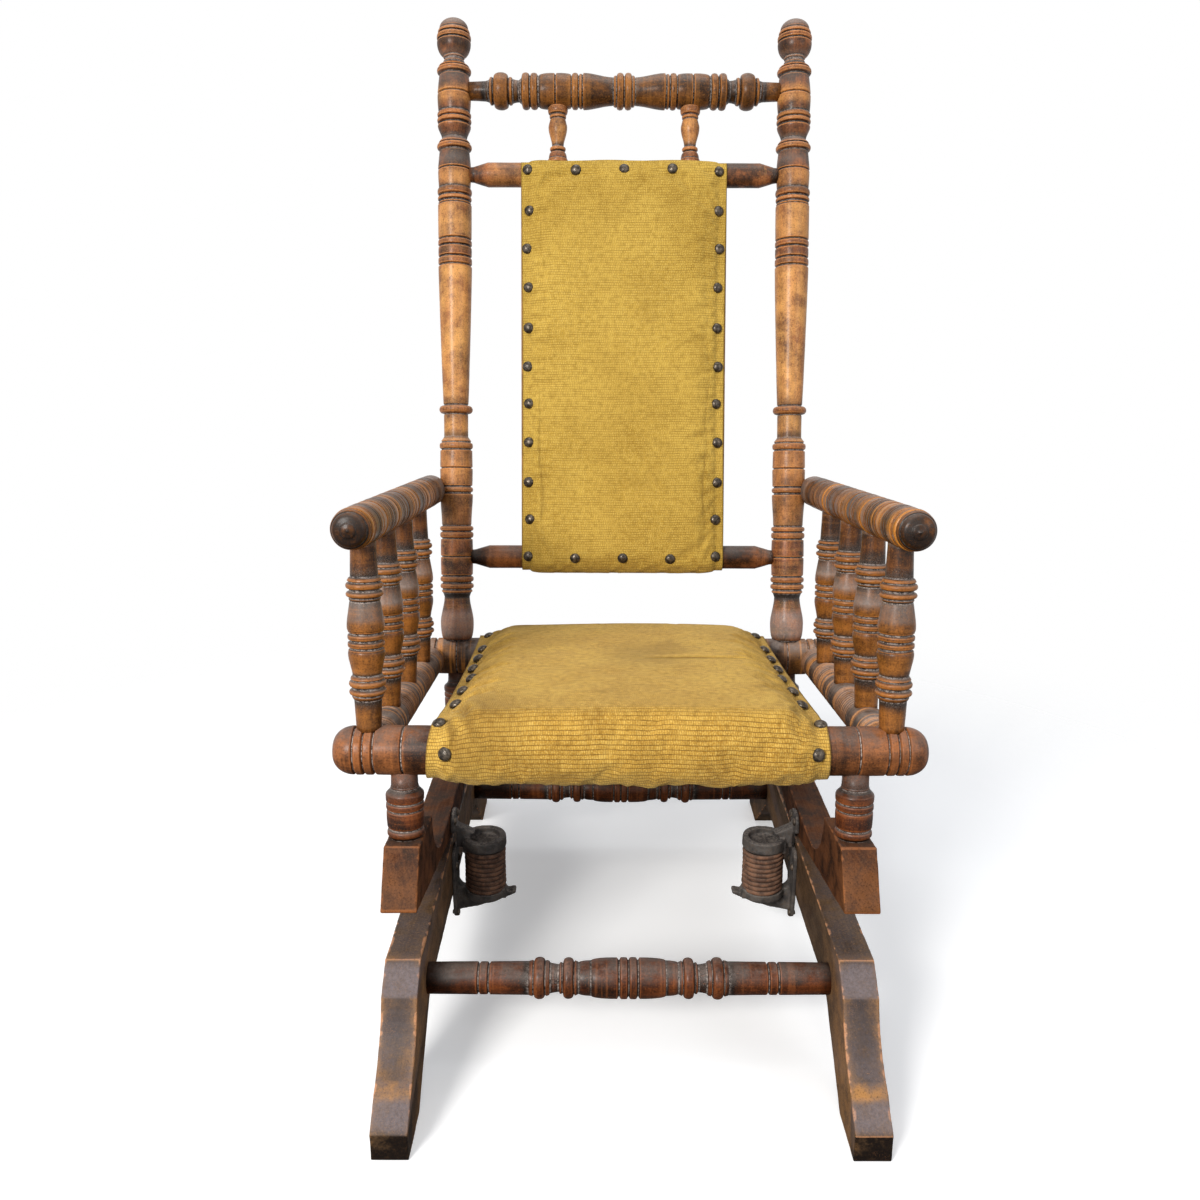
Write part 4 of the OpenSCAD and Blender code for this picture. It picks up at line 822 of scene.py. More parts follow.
# Covers: along is the way round the rails, across the chair's width; a cover is a closed skin of two layers
seatLook = {"width": 362, "drawnIn": 4.4, "strip": 13, "edge": 2.6, "pad": 7, "crown": 10, "shoulder": 34,
            "ribPitch": 3.0, "ribDepth": 0.32, "fill": 0.6, "slack": 0.03, "cap": 7.0, "spread": 3.0}
backLook = {"width": 252, "drawnIn": 1.6, "strip": 11, "edge": 1.9, "pad": 4.3, "crown": 4.5, "shoulder": 20,
            "ribPitch": 3.0, "ribDepth": 0.36, "fill": 0.5, "slack": 0.02, "cap": 4.0, "spread": 0.0}


# a path in a plane, read by length
class Path:
    def __init__(self, points):
        self.points = np.array(points, float)
        self.reach = np.concatenate([[0], np.cumsum(np.linalg.norm(np.diff(self.points, axis=0), axis=1))])
        self.length = self.reach[-1]

    def at(self, s):
        return np.stack([np.interp(s, self.reach, self.points[:, k]) for k in (0, 1)], -1)

    def normal(self, s):
        d = self.at(np.clip(s + 1.5, 0, self.length)) - self.at(np.clip(s - 1.5, 0, self.length))
        d /= np.linalg.norm(d, axis=-1, keepdims=True)
        return np.stack([-d[..., 1], d[..., 0]], -1)


def ease(x):
    x = np.clip(x, 0, 1)
    return x * x * (3 - 2 * x)


def bump(x, width):
    return np.exp(-(x / width) ** 2)


def coverPoints(uu, s, half, height, path, spread):
    flat = path.at(s) + path.normal(s) * height[..., None]
    front = ease(1 - s / 150)
    return np.stack([uu * (half + spread * front) - spread * front, flat[..., 0], flat[..., 1]], -1)


def gridFaces(rows, columns, shift=0, flip=False):
    corners = [shift + r * columns + c for r in range(rows - 1) for c in range(columns - 1)]
    quads = [(a, a + 1, a + columns + 1, a + columns) for a in corners]
    return [quad[::-1] for quad in quads] if flip else quads


def rimOf(rows, columns, shift=0):
    grid = shift + np.arange(rows * columns).reshape(rows, columns)
    return [int(i) for i in (*grid[0], *grid[1:, -1], *grid[-1, -2::-1], *grid[-2:0:-1, 0])]


# two grids of one size, back to back and joined at the rim
def shellFaces(rows, columns, base=0):
    count = rows * columns
    rim = rimOf(rows, columns, base)
    return (gridFaces(rows, columns, base) + gridFaces(rows, columns, base + count, True)
            + [(a, a + count, b + count, b) for a, b in zip(rim, rim[1:] + rim[:1])])


# joins the rim of a fine grid to the rim of a coarse one
def unevenRim(fineRim, coarseRim, fineSteps):
    faces, at = [], 0
    for i, steps in enumerate(fineSteps):
        run = [fineRim[(at + k) % len(fineRim)] for k in range(steps + 1)]
        faces.append((*reversed(run), coarseRim[i], coarseRim[(i + 1) % len(coarseRim)]))
        at += steps
    return faces


clothSetup = {"quality": 7, "mass": 0.25, "vertex_group_mass": "held", "use_pressure": True,
              "uniform_pressure_force": 4.0, "tension_stiffness": 18, "compression_stiffness": 18,
              "bending_stiffness": 0.6}
clothFrames = 20


# the filling presses the cloth out between the nailed edges
def filled(outer, inner, free, look):
    rows, columns = outer.shape[:2]
    count = rows * columns
    points = np.concatenate([outer.reshape(-1, 3), inner.reshape(-1, 3)])
    mesh = meshFrom("filling", points * mm, shellFaces(rows, columns))
    outward(mesh)
    dummy = meshObject("filling", mesh)
    held = dummy.vertex_groups.new(name="held")
    for index, share in enumerate(free.ravel()):
        held.add([index], float(1 - share), "REPLACE")
    held.add(list(range(count, 2 * count)), 1.0, "REPLACE")
    cloth = dummy.modifiers.new("cloth", "CLOTH")
    for key, value in clothSetup.items():
        setattr(cloth.settings, key, value)
    cloth.settings.effector_weights.gravity = 0
    cloth.settings.shrink_min = -look["slack"]
    cloth.collision_settings.use_collision = False
    cloth.point_cache.frame_start, cloth.point_cache.frame_end = 1, clothFrames
    for number in range(1, clothFrames + 1):
        bpy.context.scene.frame_set(number)
    shown = dummy.evaluated_get(bpy.context.evaluated_depsgraph_get())
    result = coordinates(shown.data)[:count].reshape(rows, columns, 3) / mm
    bpy.context.scene.frame_set(1)
    bpy.data.objects.remove(dummy)
    shift = result - outer
    size = np.linalg.norm(shift, axis=-1, keepdims=True)
    return outer + shift * np.minimum(1, look["cap"] / np.maximum(size, 1e-6))


def surfaceNormals(grid):
    out = np.cross(np.gradient(grid, axis=1), np.gradient(grid, axis=0))
    return out / np.maximum(np.linalg.norm(out, axis=-1, keepdims=True), 1e-9)


# a cubic through the points, so that the fine grid stays round
def resampled(grid, *counts):
    for count in counts:
        at = np.linspace(0, grid.shape[0] - 1, count)
        low = np.clip(np.floor(at).astype(int), 0, grid.shape[0] - 2)
        t = (at - low).reshape(-1, *[1] * (grid.ndim - 1))
        before, after = grid[np.clip(low - 1, 0, None)], grid[np.clip(low + 2, None, grid.shape[0] - 1)]
        a, b = grid[low], grid[low + 1]
        grid = 0.5 * (2 * a + (b - before) * t + (2 * before - 5 * a + 4 * b - after) * t ** 2
                      + (3 * a - before - 3 * b + after) * t ** 3)
        grid = np.swapaxes(grid, 0, 1)
    return grid


def paddedCover(name, look, path, rise, frameMatrix, endLean, wrinkle, node, material):
    across, along = 61, int(path.length / 6)
    tight = math.pi / 2 * 0.86
    uu, vv = np.meshgrid(np.sin(np.linspace(-1, 1, across) * tight) / math.sin(tight),
                         np.linspace(0, 1, along))
    s = vv * path.length + endLean(uu, vv)
    half = look["width"] / 2 - look["drawnIn"] * np.sin(math.pi * vv)
    fromEdge = (1 - np.abs(uu)) * half - look["strip"]
    shoulder = np.sqrt(1 - (1 - np.clip((fromEdge + 1) / look["shoulder"], 0, 1)) ** 2)
    outer = coverPoints(uu, s, half, look["edge"] + rise(vv) * shoulder, path, look["spread"])
    inner = coverPoints(uu, s, half, s * 0, path, look["spread"])
    ends = np.clip(np.minimum(vv, 1 - vv) * path.length / 16, 0, 1)
    outer = filled(outer, inner, np.clip(fromEdge / 9, 0, 1) * ends, look)
    innerRows, innerColumns = round(path.length / 6), 21
    rows, columns = (innerRows - 1) * 8 + 1, (innerColumns - 1) * 4 + 1
    fine, u, length = (resampled(grid, rows, columns) for grid in (outer, uu, s))
    out = surfaceNormals(fine)
    if out[rows // 2, columns // 2] @ (fine[rows // 2, columns // 2] - inner[along // 2, across // 2]) < 0:
        out = -out
    # ribs across the cloth, worn away here and there
    x = fine[..., 0]
    sway = 0.35 * np.sin(x * 0.021 + 1.3) + 0.2 * np.sin(x * 0.11 + length * 0.02)
    phase = (length + sway) / look["ribPitch"]
    broken = knocks(np.stack([x, np.floor(phase), x * 0], -1).reshape(-1, 3), (0.03, 0.9, 0), (0, 0, 4.2))
    ribs = look["ribDepth"] * np.clip(0.85 + 0.8 * broken.reshape(x.shape), 0.3, 1.4)
    nearEdge = np.clip((1 - np.abs(u)) * look["width"] / 10, 0.25, 1)
    ribs *= (np.abs(np.sin(math.pi * phase)) ** 0.7 - 1) * nearEdge
    fall = wrinkle(u, x, length)
    fine = fine + out * (ribs + fall)[..., None]
    lining = resampled(inner, innerRows, innerColumns).reshape(-1, 3)
    wide, long = [4] * (innerColumns - 1), [8] * (innerRows - 1)
    count = rows * columns
    faces = gridFaces(rows, columns) + gridFaces(innerRows, innerColumns, count, True)
    innerRim = rimOf(innerRows, innerColumns, count)
    faces += unevenRim(rimOf(rows, columns), innerRim, (wide + long) * 2)
    mesh = meshFrom(name, np.concatenate([fine.reshape(-1, 3), lining]) * mm, faces)
    outward(mesh)
    # how far across and along the cloth a point is, in metres, and how deep in a fold
    outside = np.stack([x * mm, length * mm, fall], -1).reshape(-1, 3)
    within = resampled(s, innerRows, innerColumns).ravel()
    inside = np.column_stack([lining[:, 0] * mm, within * mm, within * 0])
    store(mesh, "cloth", np.concatenate([outside, inside]))
    edge = np.clip(1 - (1 - np.abs(u)) * look["width"] / 8, 0, 1).ravel()
    store(mesh, "rim", np.concatenate([edge, np.ones(len(inside))]))
    mesh.transform(frameMatrix)
    mesh.materials.append(material)
    piece = meshObject(name, mesh)
    finishPiece(piece, "chair", node)
    return SimpleNamespace(grid=fine, out=out, length=length, x=x, frame=frameMatrix)


def velvetMaterial(name, look):
    material, tree, k = startMaterial(name, look)
    place, spot = attribute(tree, "cloth", "Vector"), spotOn(tree)
    across, along, fold = place.split()
    sway = (across * 21 + 1.3).sine() * 0.00035 + (across * 110 + along * 20).sine() * 0.0002
    phase = (along + sway) / k.pitch
    row = phase.maths("FLOOR")
    rowPlace = across.into("ShaderNodeCombineXYZ", row, 0)
    dash = rowPlace.cloud((34, 0.83, 1), 3, 0.6)
    short = rowPlace.cloud((160, 0.61, 1), 2, 0.6, (5, 3, 0))
    pile, fuzz = place.cloud((900, 900, 1), 2), place.cloud((2600, 2600, 1), 1)
    mottle, stain = spot.cloud(150, 3, 0.7, (2, 5, 1)), spot.cloud(16, 4, 0.65, (3, 1, 2))
    line = (phase * math.pi).sine().maths("ABSOLUTE").step(k.lineWidth, 0.08)
    front = along.step(k.strongTo, k.strongFrom) * dash.step(0.25, 0.5)
    share = (line * (short * 0.35 + dash).step(k.dashLow, k.dashHigh)).larger(line * front)
    # threads across the ribs break each rib into short stitches
    thread = ((across / k.stitch + row * 0.37 + dash * 2.2) * math.pi).sine().maths("ABSOLUTE")
    gap = (thread.step(0.6, 0.12) * (pile * 1.1 + 0.1)).clamped()
    colour = coated(
        spot.cloud(7, 3, 0.6).step(0.35, 0.68).between(k.deep, k.pale),
        (pile.step(0.35, 0.7) * 0.65, k.light), (mottle.step(0.5, 0.68) * k.mottle, k.shade),
        (mottle.step(0.48, 0.3) * k.mottle, k.light), (short.step(0.45, 0.7) * 0.3, k.shade),
        (gap * k.threadShare, k.shade), (share * k.lineShare, k.line),
        # painted shade: the cloth is darkened where it dips into a fold
        (fold.step(-0.25, -1.6) * 0.6, k.line), (stain.step(0.56, 0.75) * k.stainShare, k.shade),
        (attribute(tree, "rim").step(0.5, 1) * 0.75, k.line))
    return dressed(material, {"Base Color": colour, "Roughness": 0.92, "Specular IOR Level": 0.2,
                              "Sheen Weight": 0.35, "Sheen Roughness": 0.45, "Sheen Tint": k.sheen},
                   fuzz * 0.5 + pile * 0.7 - gap * 0.8, 0.7, 0.0006)


seatVelvet = velvetMaterial("seatVelvet", {
    "pitch": 0.003, "deep": (170, 126, 44), "pale": (200, 158, 68), "light": (226, 188, 98),
    "shade": (118, 82, 24), "line": (84, 54, 16), "lineWidth": 0.5, "dashLow": 0.62, "dashHigh": 0.78,
    "strongFrom": 0.045, "strongTo": 0.14, "lineShare": 0.75, "stainShare": 0.5, "sheen": (240, 214, 150),
    "stitch": 0.0021, "threadShare": 0.6, "mottle": 0.35})
backVelvet = velvetMaterial("backVelvet", {
    "pitch": 0.003, "deep": (164, 128, 42), "pale": (194, 158, 66), "light": (220, 188, 98),
    "shade": (128, 94, 26), "line": (96, 68, 18), "lineWidth": 0.45, "dashLow": 0.56, "dashHigh": 0.72,
    "strongFrom": -2, "strongTo": -1, "lineShare": 0.7, "stainShare": 0.25, "sheen": (240, 220, 150),
    "stitch": 0.0021, "threadShare": 0.8, "mottle": 0.12})


def wrapPath(centreA, radius, startAngle, centreB, endAngle, topAngle):
    return Path(arcPoints(*centreA, radius, startAngle, topAngle, 40)
                + arcPoints(*centreB, radius, topAngle, endAngle, 40))


seatPath = wrapPath((0, 0), 23.3, 280, (390, 0), -32, 90)
backPath = wrapPath((0, places["lowerRailZ"]), 14.9, 275, (0, places["upperRailZ"]), 135, 180)


def seatRise(v):
    run = np.clip((v * seatPath.length - 60) / 400, 0, 1)
    crown = 0.3 * ease(v * 8) + 0.7 * np.sin(math.pi * run) ** 0.6
    return seatLook["pad"] * 0.75 + seatLook["crown"] * crown


def backRise(v):
    crown = 0.3 + 0.7 * np.sin(math.pi * np.clip(v, 0, 1)) ** 0.5
    return backLook["pad"] * 0.5 + backLook["crown"] * crown


# a crease across the right half, and puckers at the front corners and at the nails
def seatWrinkle(u, x, s):
    bend = s - (250 + 0.05 * (x - 60) + 5 * np.sin(x * 0.03))
    crease = (0.8 * bump(bend - 9, 6) - 1.5 * bump(bend, 3.2)) * ease((x - 5) / 60) * ease((172 - x) / 30)
    gather = sum(0.9 * np.sin(0.33 * d + 0.16 * (s - 70)) * bump(d, 34) * bump(s - 78, 26)
                 for d in (181 + x, 181 - x))
    drape = 0.8 * np.sin(x * 0.085 + 0.6 * np.sin(s * 0.05)) * bump(s - 8, 14)
    slow = 1.1 * np.sin(x * 0.018 + 1.1) * np.sin(s * 0.016 + 0.4)
    return crease + gather + drape + slow * ease((1 - np.abs(u)) * 6)


def backWrinkle(u, x, s):
    slow = 0.5 * np.sin(x * 0.03 + 0.7) * np.sin(s * 0.014)
    ends = ease((s - 40) / 40) * ease((backPath.length - 40 - s) / 40)
    fold = 0
    for sign, wander in ((-1, 0.6), (1, -0.4)):
        fromFold = 126 - sign * x - 24 - 2.2 * np.sin(s * 0.02 + wander) - 1.2 * np.sin(s * 0.07)
        fold = fold - 0.9 * bump(fromFold, 1.8)
    return slow * ease((1 - np.abs(u)) * 6) + fold * ends


def seatLean(u, v):
    return 5.0 * u * u * ease(1 - v * 9)


def backLean(u, v):
    return (1 + np.sin(u * 9)) * 0.7 * (ease(1 - v * 14) - ease(v * 14 - 13))


seatSkin = paddedCover("seatCover", seatLook, seatPath, seatRise, seatFrame, seatLean, seatWrinkle,
                       "seat_cover", seatVelvet)
backSkin = paddedCover("backCover", backLook, backPath, backRise, backFrame, backLean, backWrinkle,
                       "back_cover", backVelvet)
print("covers ready")


# Nails and screws: the same thing at many points, each turned to the point's own direction
def scatterTree():
    tree, g, result = startTree("scatter", "Geometry", {
        "Geometry": "geometry", "Object": "thing", "Material": "material", "Int": "seed",
        "Float": "sizeChange"}, {"Geometry": "geometry"})
    thing = put(tree, "GeometryNodeObjectInfo", g.thing, output="Geometry", transform_space="ORIGINAL")
    facing = put(tree, "GeometryNodeInputNamedAttribute", "facing", data_type="FLOAT_VECTOR")
    aim = put(tree, "FunctionNodeAlignRotationToVector", axis="Z")
    spread = put(tree, "FunctionNodeRandomValue", None, None, 1 - g.sizeChange, 1.0, output=1,
                 data_type="FLOAT")
    feedAll(aim.socket.node, {"Vector": facing})
    feedAll(spread.socket.node, {"Seed": g.seed})
    many = g.geometry.into("GeometryNodeInstanceOnPoints")
    feedAll(many.socket.node, {"Instance": thing, "Rotation": aim, "Scale": spread})
    finishTree(g, result, many)
    return tree


scatter = scatterTree()


def scattered(name, thing, spots, material, seed, sizeChange, body, node):
    cloud = meshFrom(name, [place for place, facing in spots], [])
    store(cloud, "facing", [tuple(facing) for place, facing in spots])
    piece = meshObject(name, cloud)
    treeResult(piece, scatter, {"thing": thing, "material": material, "seed": seed,
                                "sizeChange": sizeChange})
    finishPiece(piece, body, node)


def lathedThing(name, profile, sidesRound):
    return lathed(name, [z for r, z in profile], [max(r, 1e-3) for r, z in profile], {"sides": sidesRound})


def metalMaterial(name, look):
    material, tree, k = startMaterial(name, look)
    spot, upward = spotOn(tree), upwardOn(tree)
    patch, speck = spot.cloud(k.patch, 4, 0.65), spot.cloud(k.speck, 3, 0.6)
    rusty = (speck * 0.6 + patch * 0.5).step(0.5, 0.68) * k.rustShare
    film = upward.step(0.15, 0.95) * speck.step(0.35, 0.65) * k.dustShare
    colour = coated(patch.step(0.4, 0.66).between(k.dark, k.bright), (rusty, k.rust), (film, k.dust),
                    # painted shade: points marked as lying between coil turns go near black
                    (attribute(tree, "between") * 0.9, (16, 9, 6)))
    rough = (rusty * 0.3 + k.rough + (speck - 0.5) * 0.3).clamped()
    bare = ((1 - rusty.larger(film)) * k.metal).clamped()
    return dressed(material, {"Base Color": colour, "Roughness": rough, "Metallic": bare},
                   patch * 1.5 + speck, k.bump, 0.0006)


metals = {name: metalMaterial(name, look) for name, look in {
    "oldNail": {"dark": (46, 40, 33), "bright": (98, 88, 74), "rust": (58, 38, 22), "dust": (112, 106, 96),
                "patch": 240, "speck": 900, "rustShare": 0.4, "dustShare": 0.25, "rough": 0.3, "metal": 0.6,
                "bump": 0.2},
    "oldCasting": {"dark": (62, 58, 56), "bright": (98, 94, 90), "rust": (86, 68, 54),
                   "dust": (140, 130, 122), "patch": 60, "speck": 420, "rustShare": 0.5, "dustShare": 0.6,
                   "rough": 0.62, "metal": 0.35, "bump": 0.6},
    "rustyWire": {"dark": (80, 54, 40), "bright": (134, 100, 78), "rust": (130, 86, 60),
                  "dust": (150, 130, 114), "patch": 90, "speck": 500, "rustShare": 0.6, "dustShare": 0.35,
                  "rough": 0.78, "metal": 0.12, "bump": 0.5},
    "oldScrew": {"dark": (70, 62, 54), "bright": (120, 108, 94), "rust": (92, 66, 46),
                 "dust": (140, 128, 118), "patch": 200, "speck": 800, "rustShare": 0.6, "dustShare": 0.4,
                 "rough": 0.5, "metal": 0.7, "bump": 0.3},
}.items()}
nailLook = {"diameter": 13.4, "height": 4.6, "sizeChange": 0.06}


def nailThing():
    r, h = nailLook["diameter"] / 2, nailLook["height"]
    dome = [(r * 0.985 * math.cos(a), h * 0.92 * math.sin(a)) for a in np.linspace(0, math.pi / 2, 9)]
    foot = [(0, -1.2), (r * 0.55, -1.0), (r * 0.97, -0.9), (r, -0.6), (r * 0.99, -0.25)]
    return lathedThing("nail", foot + dome, 28)


def onSkin(skin, x, length, sink=0.6):
    row = int(np.abs(skin.length[:, skin.x.shape[1] // 2] - length).argmin())
    column = int(np.abs(skin.x[row] - x).argmin())
    nearby = slice(max(row - 5, 0), row + 6), slice(max(column - 2, 0), column + 3)
    out = skin.out[nearby].reshape(-1, 3).mean(axis=0)
    out /= np.linalg.norm(out)
    place = skin.grid[row, column]
    place = place + out * (((skin.grid[nearby].reshape(-1, 3) - place) @ out).max() - sink)
    return skin.frame @ Vector(place * mm), skin.frame.to_3x3() @ Vector(out)


def placeNails():
    nail = nailThing()
    topStart, lowStart = math.radians(280 - 90) * 23.3, math.radians(275 - 180) * 14.9
    seatSpots, backSpots = [], []
    for s in (-1, 1):
        for y in (52, 101, 146, 194, 244, 295, 380):
            x = 181 - 4.4 * math.sin(math.pi * y / 390) - 12 - 1.2 * math.sin(y)
            seatSpots.append(onSkin(seatSkin, s * x, topStart + y))
        for x, angle in ((175, 97), (168, 172)):
            seatSpots.append(onSkin(seatSkin, s * x, math.radians(280 - angle) * 23.3))
        for i in range(11):
            wobble = i + 1 + 11 * (s > 0)
            backSpots.append(onSkin(backSkin, s * (116.4 + 0.9 * math.sin(wobble * 2.3)) - 0.6,
                                    lowStart + i * 47.2 + 1.2 * math.sin(wobble * 1.7)))
    for z in (0, 472):
        for x in (-59, 0, 59):
            backSpots.append(onSkin(backSkin, x + 1.5 * math.sin(x + z), lowStart + z))
    for part, spots, seed in (("seat", seatSpots, 3), ("back", backSpots, 8)):
        scattered(f"{part}Nails", nail, spots, metals["oldNail"], seed, nailLook["sizeChange"], "chair",
                  f"{part}_nails")
    bpy.data.objects.remove(nail)


placeNails()
print("nails ready")

# Springs
springLook = {"reach": 36, "radius": 20.4, "wire": 5.4, "pitch": 5.56, "turns": 8.5, "low": 74.6,
              "coilY": 174.22}
coilX = boardInner - springLook["reach"]


def springTree():
    tree, g, result = startTree("coil", "Geometry", {
        "Geometry": "geometry", "Float": "turns radius height wire", "Material": "material"},
        {"Geometry": "geometry"})
    line = put(tree, "GeometryNodeCurveSpiral")
    feedAll(line.socket.node, {"Resolution": 40, "Rotations": g.turns, "Start Radius": g.radius,
                               "End Radius": g.radius, "Height": g.height})
    # the ends of the wire are drawn in a little, and the coils lie unevenly
    part = put(tree, "GeometryNodeSplineParameter", output="Factor")
    uneven = put(tree, "GeometryNodeInputPosition").into("ShaderNodeTexNoise", output=1)
    feedAll(uneven.socket.node, {"Scale": 55})
    shift = uneven.into("ShaderNodeVectorMath", (0.5, 0.5, 0.5), operation="SUBTRACT")
    moved = line.into("GeometryNodeSetPosition")
    feedAll(moved.socket.node, {"Offset": shift.into("ShaderNodeVectorMath", (0.0018, 0.0018, 0.0006),
                                                     operation="MULTIPLY")})
    ring = put(tree, "GeometryNodeCurvePrimitiveCircle", 14, mode="RADIUS")
    feedAll(ring.socket.node, {"Radius": g.wire})
    skin = moved.into("GeometryNodeCurveToMesh", ring)
    ends = (part.maths("MINIMUM", 1 - part) * 60).clamped()
    feedAll(skin.socket.node, {"Scale": ends * 0.25 + 0.75, "Fill Caps": True})
    finishTree(g, result, skin)
    return tree


coil = springTree()
for side, s in sides.items():
    k = SimpleNamespace(**springLook)
    high = k.pitch * k.turns
    spring = meshObject(f"coilSpring_{side}", meshFrom("coilSpring", [(0, 0, 0)], []))
    mesh = treeResult(spring, coil, {"turns": k.turns, "radius": k.radius * mm, "height": high * mm,
                                     "wire": k.wire / 2 * mm, "material": metals["rustyWire"]})
    outward(mesh)
    # painted shade: the hollows between the turns are darkened
    reach = np.linalg.norm(coordinates(mesh)[:, :2], axis=1) / mm - k.radius
    store(mesh, "between", np.clip((0.62 - reach / (k.wire / 2)) / 0.45, 0, 1))
    foot = floorFrame @ move(s * coilX, k.coilY, k.low)
    mesh.transform(foot @ Matrix.Diagonal((-s, 1, 1, 1)))
    if s > 0:
        mesh.flip_normals()
    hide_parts(f"spring_{side}")
    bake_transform(spring)
print("springs ready")

# Cast brackets
bracketLook = {"plate": 4.3, "plateWide": 33, "cup": 24, "voxel": 1.15, "web": 13}
plateX = -springLook["reach"] + 0.1


# a band swept round from a section of radius and height
def ringLump(section, steps=48, start=0, end=360):
    whole, n = end - start >= 360, len(section)
    count = steps if whole else steps + 1
    angles = [math.radians(start + (end - start) * i / steps) for i in range(count)]
    points = [(r * math.cos(a), r * math.sin(a), z) for a in angles for r, z in section]
    faces = []
    for i in range(steps):
        j = (i + 1) % count
        faces += [(i * n + k, j * n + k, j * n + (k + 1) % n, i * n + (k + 1) % n) for k in range(n)]
    if not whole:
        faces += [tuple(reversed(range(n))), tuple(range((count - 1) * n, count * n))]
    return points, faces


# a slab from an outline, between two levels of x or y
def slabLump(outline, low, high, axis):
    n = len(outline)
    points = [(level, a, b) if axis == "x" else (a, level, b) for level in (low, high) for a, b in outline]
    return points, [tuple(reversed(range(n))), tuple(range(n, 2 * n)),
                    *[(i, (i + 1) % n, n + (i + 1) % n, n + i) for i in range(n)]]


def plateLump(low, high, lowRound, highRound):
    half = bracketLook["plateWide"] / 2
    outline = [(y * half, z * lowRound + low + lowRound) for y, z in arcPoints(0, 0, 1, 180, 360, 16)]
    outline += [(y * half, z * highRound + high - highRound) for y, z in arcPoints(0, 0, 1, 0, 180, 16)]
    return slabLump(outline, plateX, plateX + bracketLook["plate"], "x")


def box(x1, z1, x2, z2):
    return [(x1, z1), (x2, z1), (x2, z2), (x1, z2)]


def casting(name, side, lumps, body, node):
    points, faces = [], []
    for lumpPoints, lumpFaces in lumps:
        faces += [tuple(len(points) + i for i in face) for face in lumpFaces]
        points += lumpPoints
    piece = meshObject(name, meshFrom(name, np.array(points) * mm, faces))
    remesh = piece.modifiers.new("cast", "REMESH")
    remesh.mode, remesh.use_smooth_shade = "VOXEL", True
    remesh.voxel_size = bracketLook["voxel"] * mm
    soften = piece.modifiers.new("soften", "SMOOTH")
    soften.factor, soften.iterations = 0.5, 3
    bpy.context.view_layer.update()
    solid = bpy.data.meshes.new_from_object(piece.evaluated_get(bpy.context.evaluated_depsgraph_get()))
    piece.modifiers.clear()
    piece.data = solid
    points = coordinates(solid)
    normals = np.zeros(points.size)
    solid.vertices.foreach_get("normal", normals)
    uneven = knocks(points, 90) + 0.5 * knocks(points, 330)
    points += normals.reshape(-1, 3) * (uneven * 0.28 * mm)[:, None]
    solid.vertices.foreach_set("co", points.ravel())
    s = sides[side]
    solid.transform(floorFrame @ move(s * coilX, springLook["coilY"], 0) @ Matrix.Diagonal((-s, 1, 1, 1)))
    outward(solid)
    solid.polygons.foreach_set("use_smooth", [True] * len(solid.polygons))
    solid.materials.clear()
    solid.materials.append(metals["oldCasting"])
    finishPiece(piece, body, node)


def lowerParts(cup, web):
    tongue = [(plateX + 2, 46), (plateX + 2, 87), (plateX + 9, 75), (-18.4, 71.2), (18, 67.6), (33, 71),
              (34.5, 67.4), (18, 60), (-9.2, 50.5)]
    return [plateLump(37.5, 124, 15, 7),
            ringLump([(10.3, 64.2), (cup - 1.5, 64.2), (cup, 66), (cup, 71.4), (10.3, 71.4)]),
            ringLump(box(cup - 2.4, 66, cup + 0.4, 74), 40, 190, 340),
            slabLump(tongue, -web / 2, web / 2, "y"), slabLump(box(17.3, 64, 23.5, 76), -11.9, -5.6, "y")]


def upperParts(cup, web):
    seat = 124.85
    arm = [(plateX + 4.6, seat + 0.5), (plateX + 4.6, 144.3), (plateX + 2, 144.3), (plateX + 2, 153),
           (plateX + 8.6, 150), (-10.1, 142), (-16.5, seat + 12.9), (-16.5, seat)]
    cap = [(0, seat + 1.5), (18, seat + 1.5), (18, seat + 5.5), (7, seat + 4), (0, seat + 6)]
    return [plateLump(144.3, 168, 5, 9), ringLump(box(17.3, seat, cup, seat + 12.4)),
            slabLump(arm, -web / 2, web / 2, "y"),
            slabLump(box(-23.5, seat - 4.2, -17.3, seat + 8), -11.9, -5.6, "y"), ringLump(cap, 32)]


for side in sides:
    for level, parts, body in (("lower", lowerParts, "base"), ("upper", upperParts, "chair")):
        casting(f"{level}Bracket_{side}", side, parts(bracketLook["cup"], bracketLook["web"]), body,
                f"{level}_bracket_{side}")


def placeScrews():
    screw = lathedThing("screw", [(0, -1.5), (2.3, -1.5), (2.3, 4.3), (4.4, 4.35), (4.35, 5.0), (3.7, 6.1),
                                  (2.4, 6.7), (0.9, 6.9), (0, 6.9)], 22)
    for level, body, heights in (("lower", "base", (46.25, 103.9)), ("upper", "chair", (159.3,))):
        spots = [(floorFrame @ (Vector((s * (coilX - plateX), springLook["coilY"] + y, z)) * mm), (-s, 0, 0))
                 for s in (-1, 1) for z in heights for y in (-10.6, 10.6)]
        scattered(f"{level}Screws", screw, spots, metals["oldScrew"], 4, 0.0, body,
                  f"{level}_screws")
    bpy.data.objects.remove(screw)


placeScrews()
print("metal ready")


# Webbing and hidden wood
def webMaterial():
    material, tree, _ = startMaterial("jute")
    across, along, _ = attribute(tree, "cloth", "Vector").split()
    weave = (along * 2900).sine() * (across * 2300).sine()
    colour = coated(spotOn(tree).cloud(22).step(0.35, 0.7).between((122, 98, 66), (170, 144, 102)),
                    (weave.step(-0.2, -0.9) * 0.6, (70, 52, 32)))
    return dressed(material, {"Base Color": colour, "Roughness": 0.95}, weave, 0.6, 0.0005)


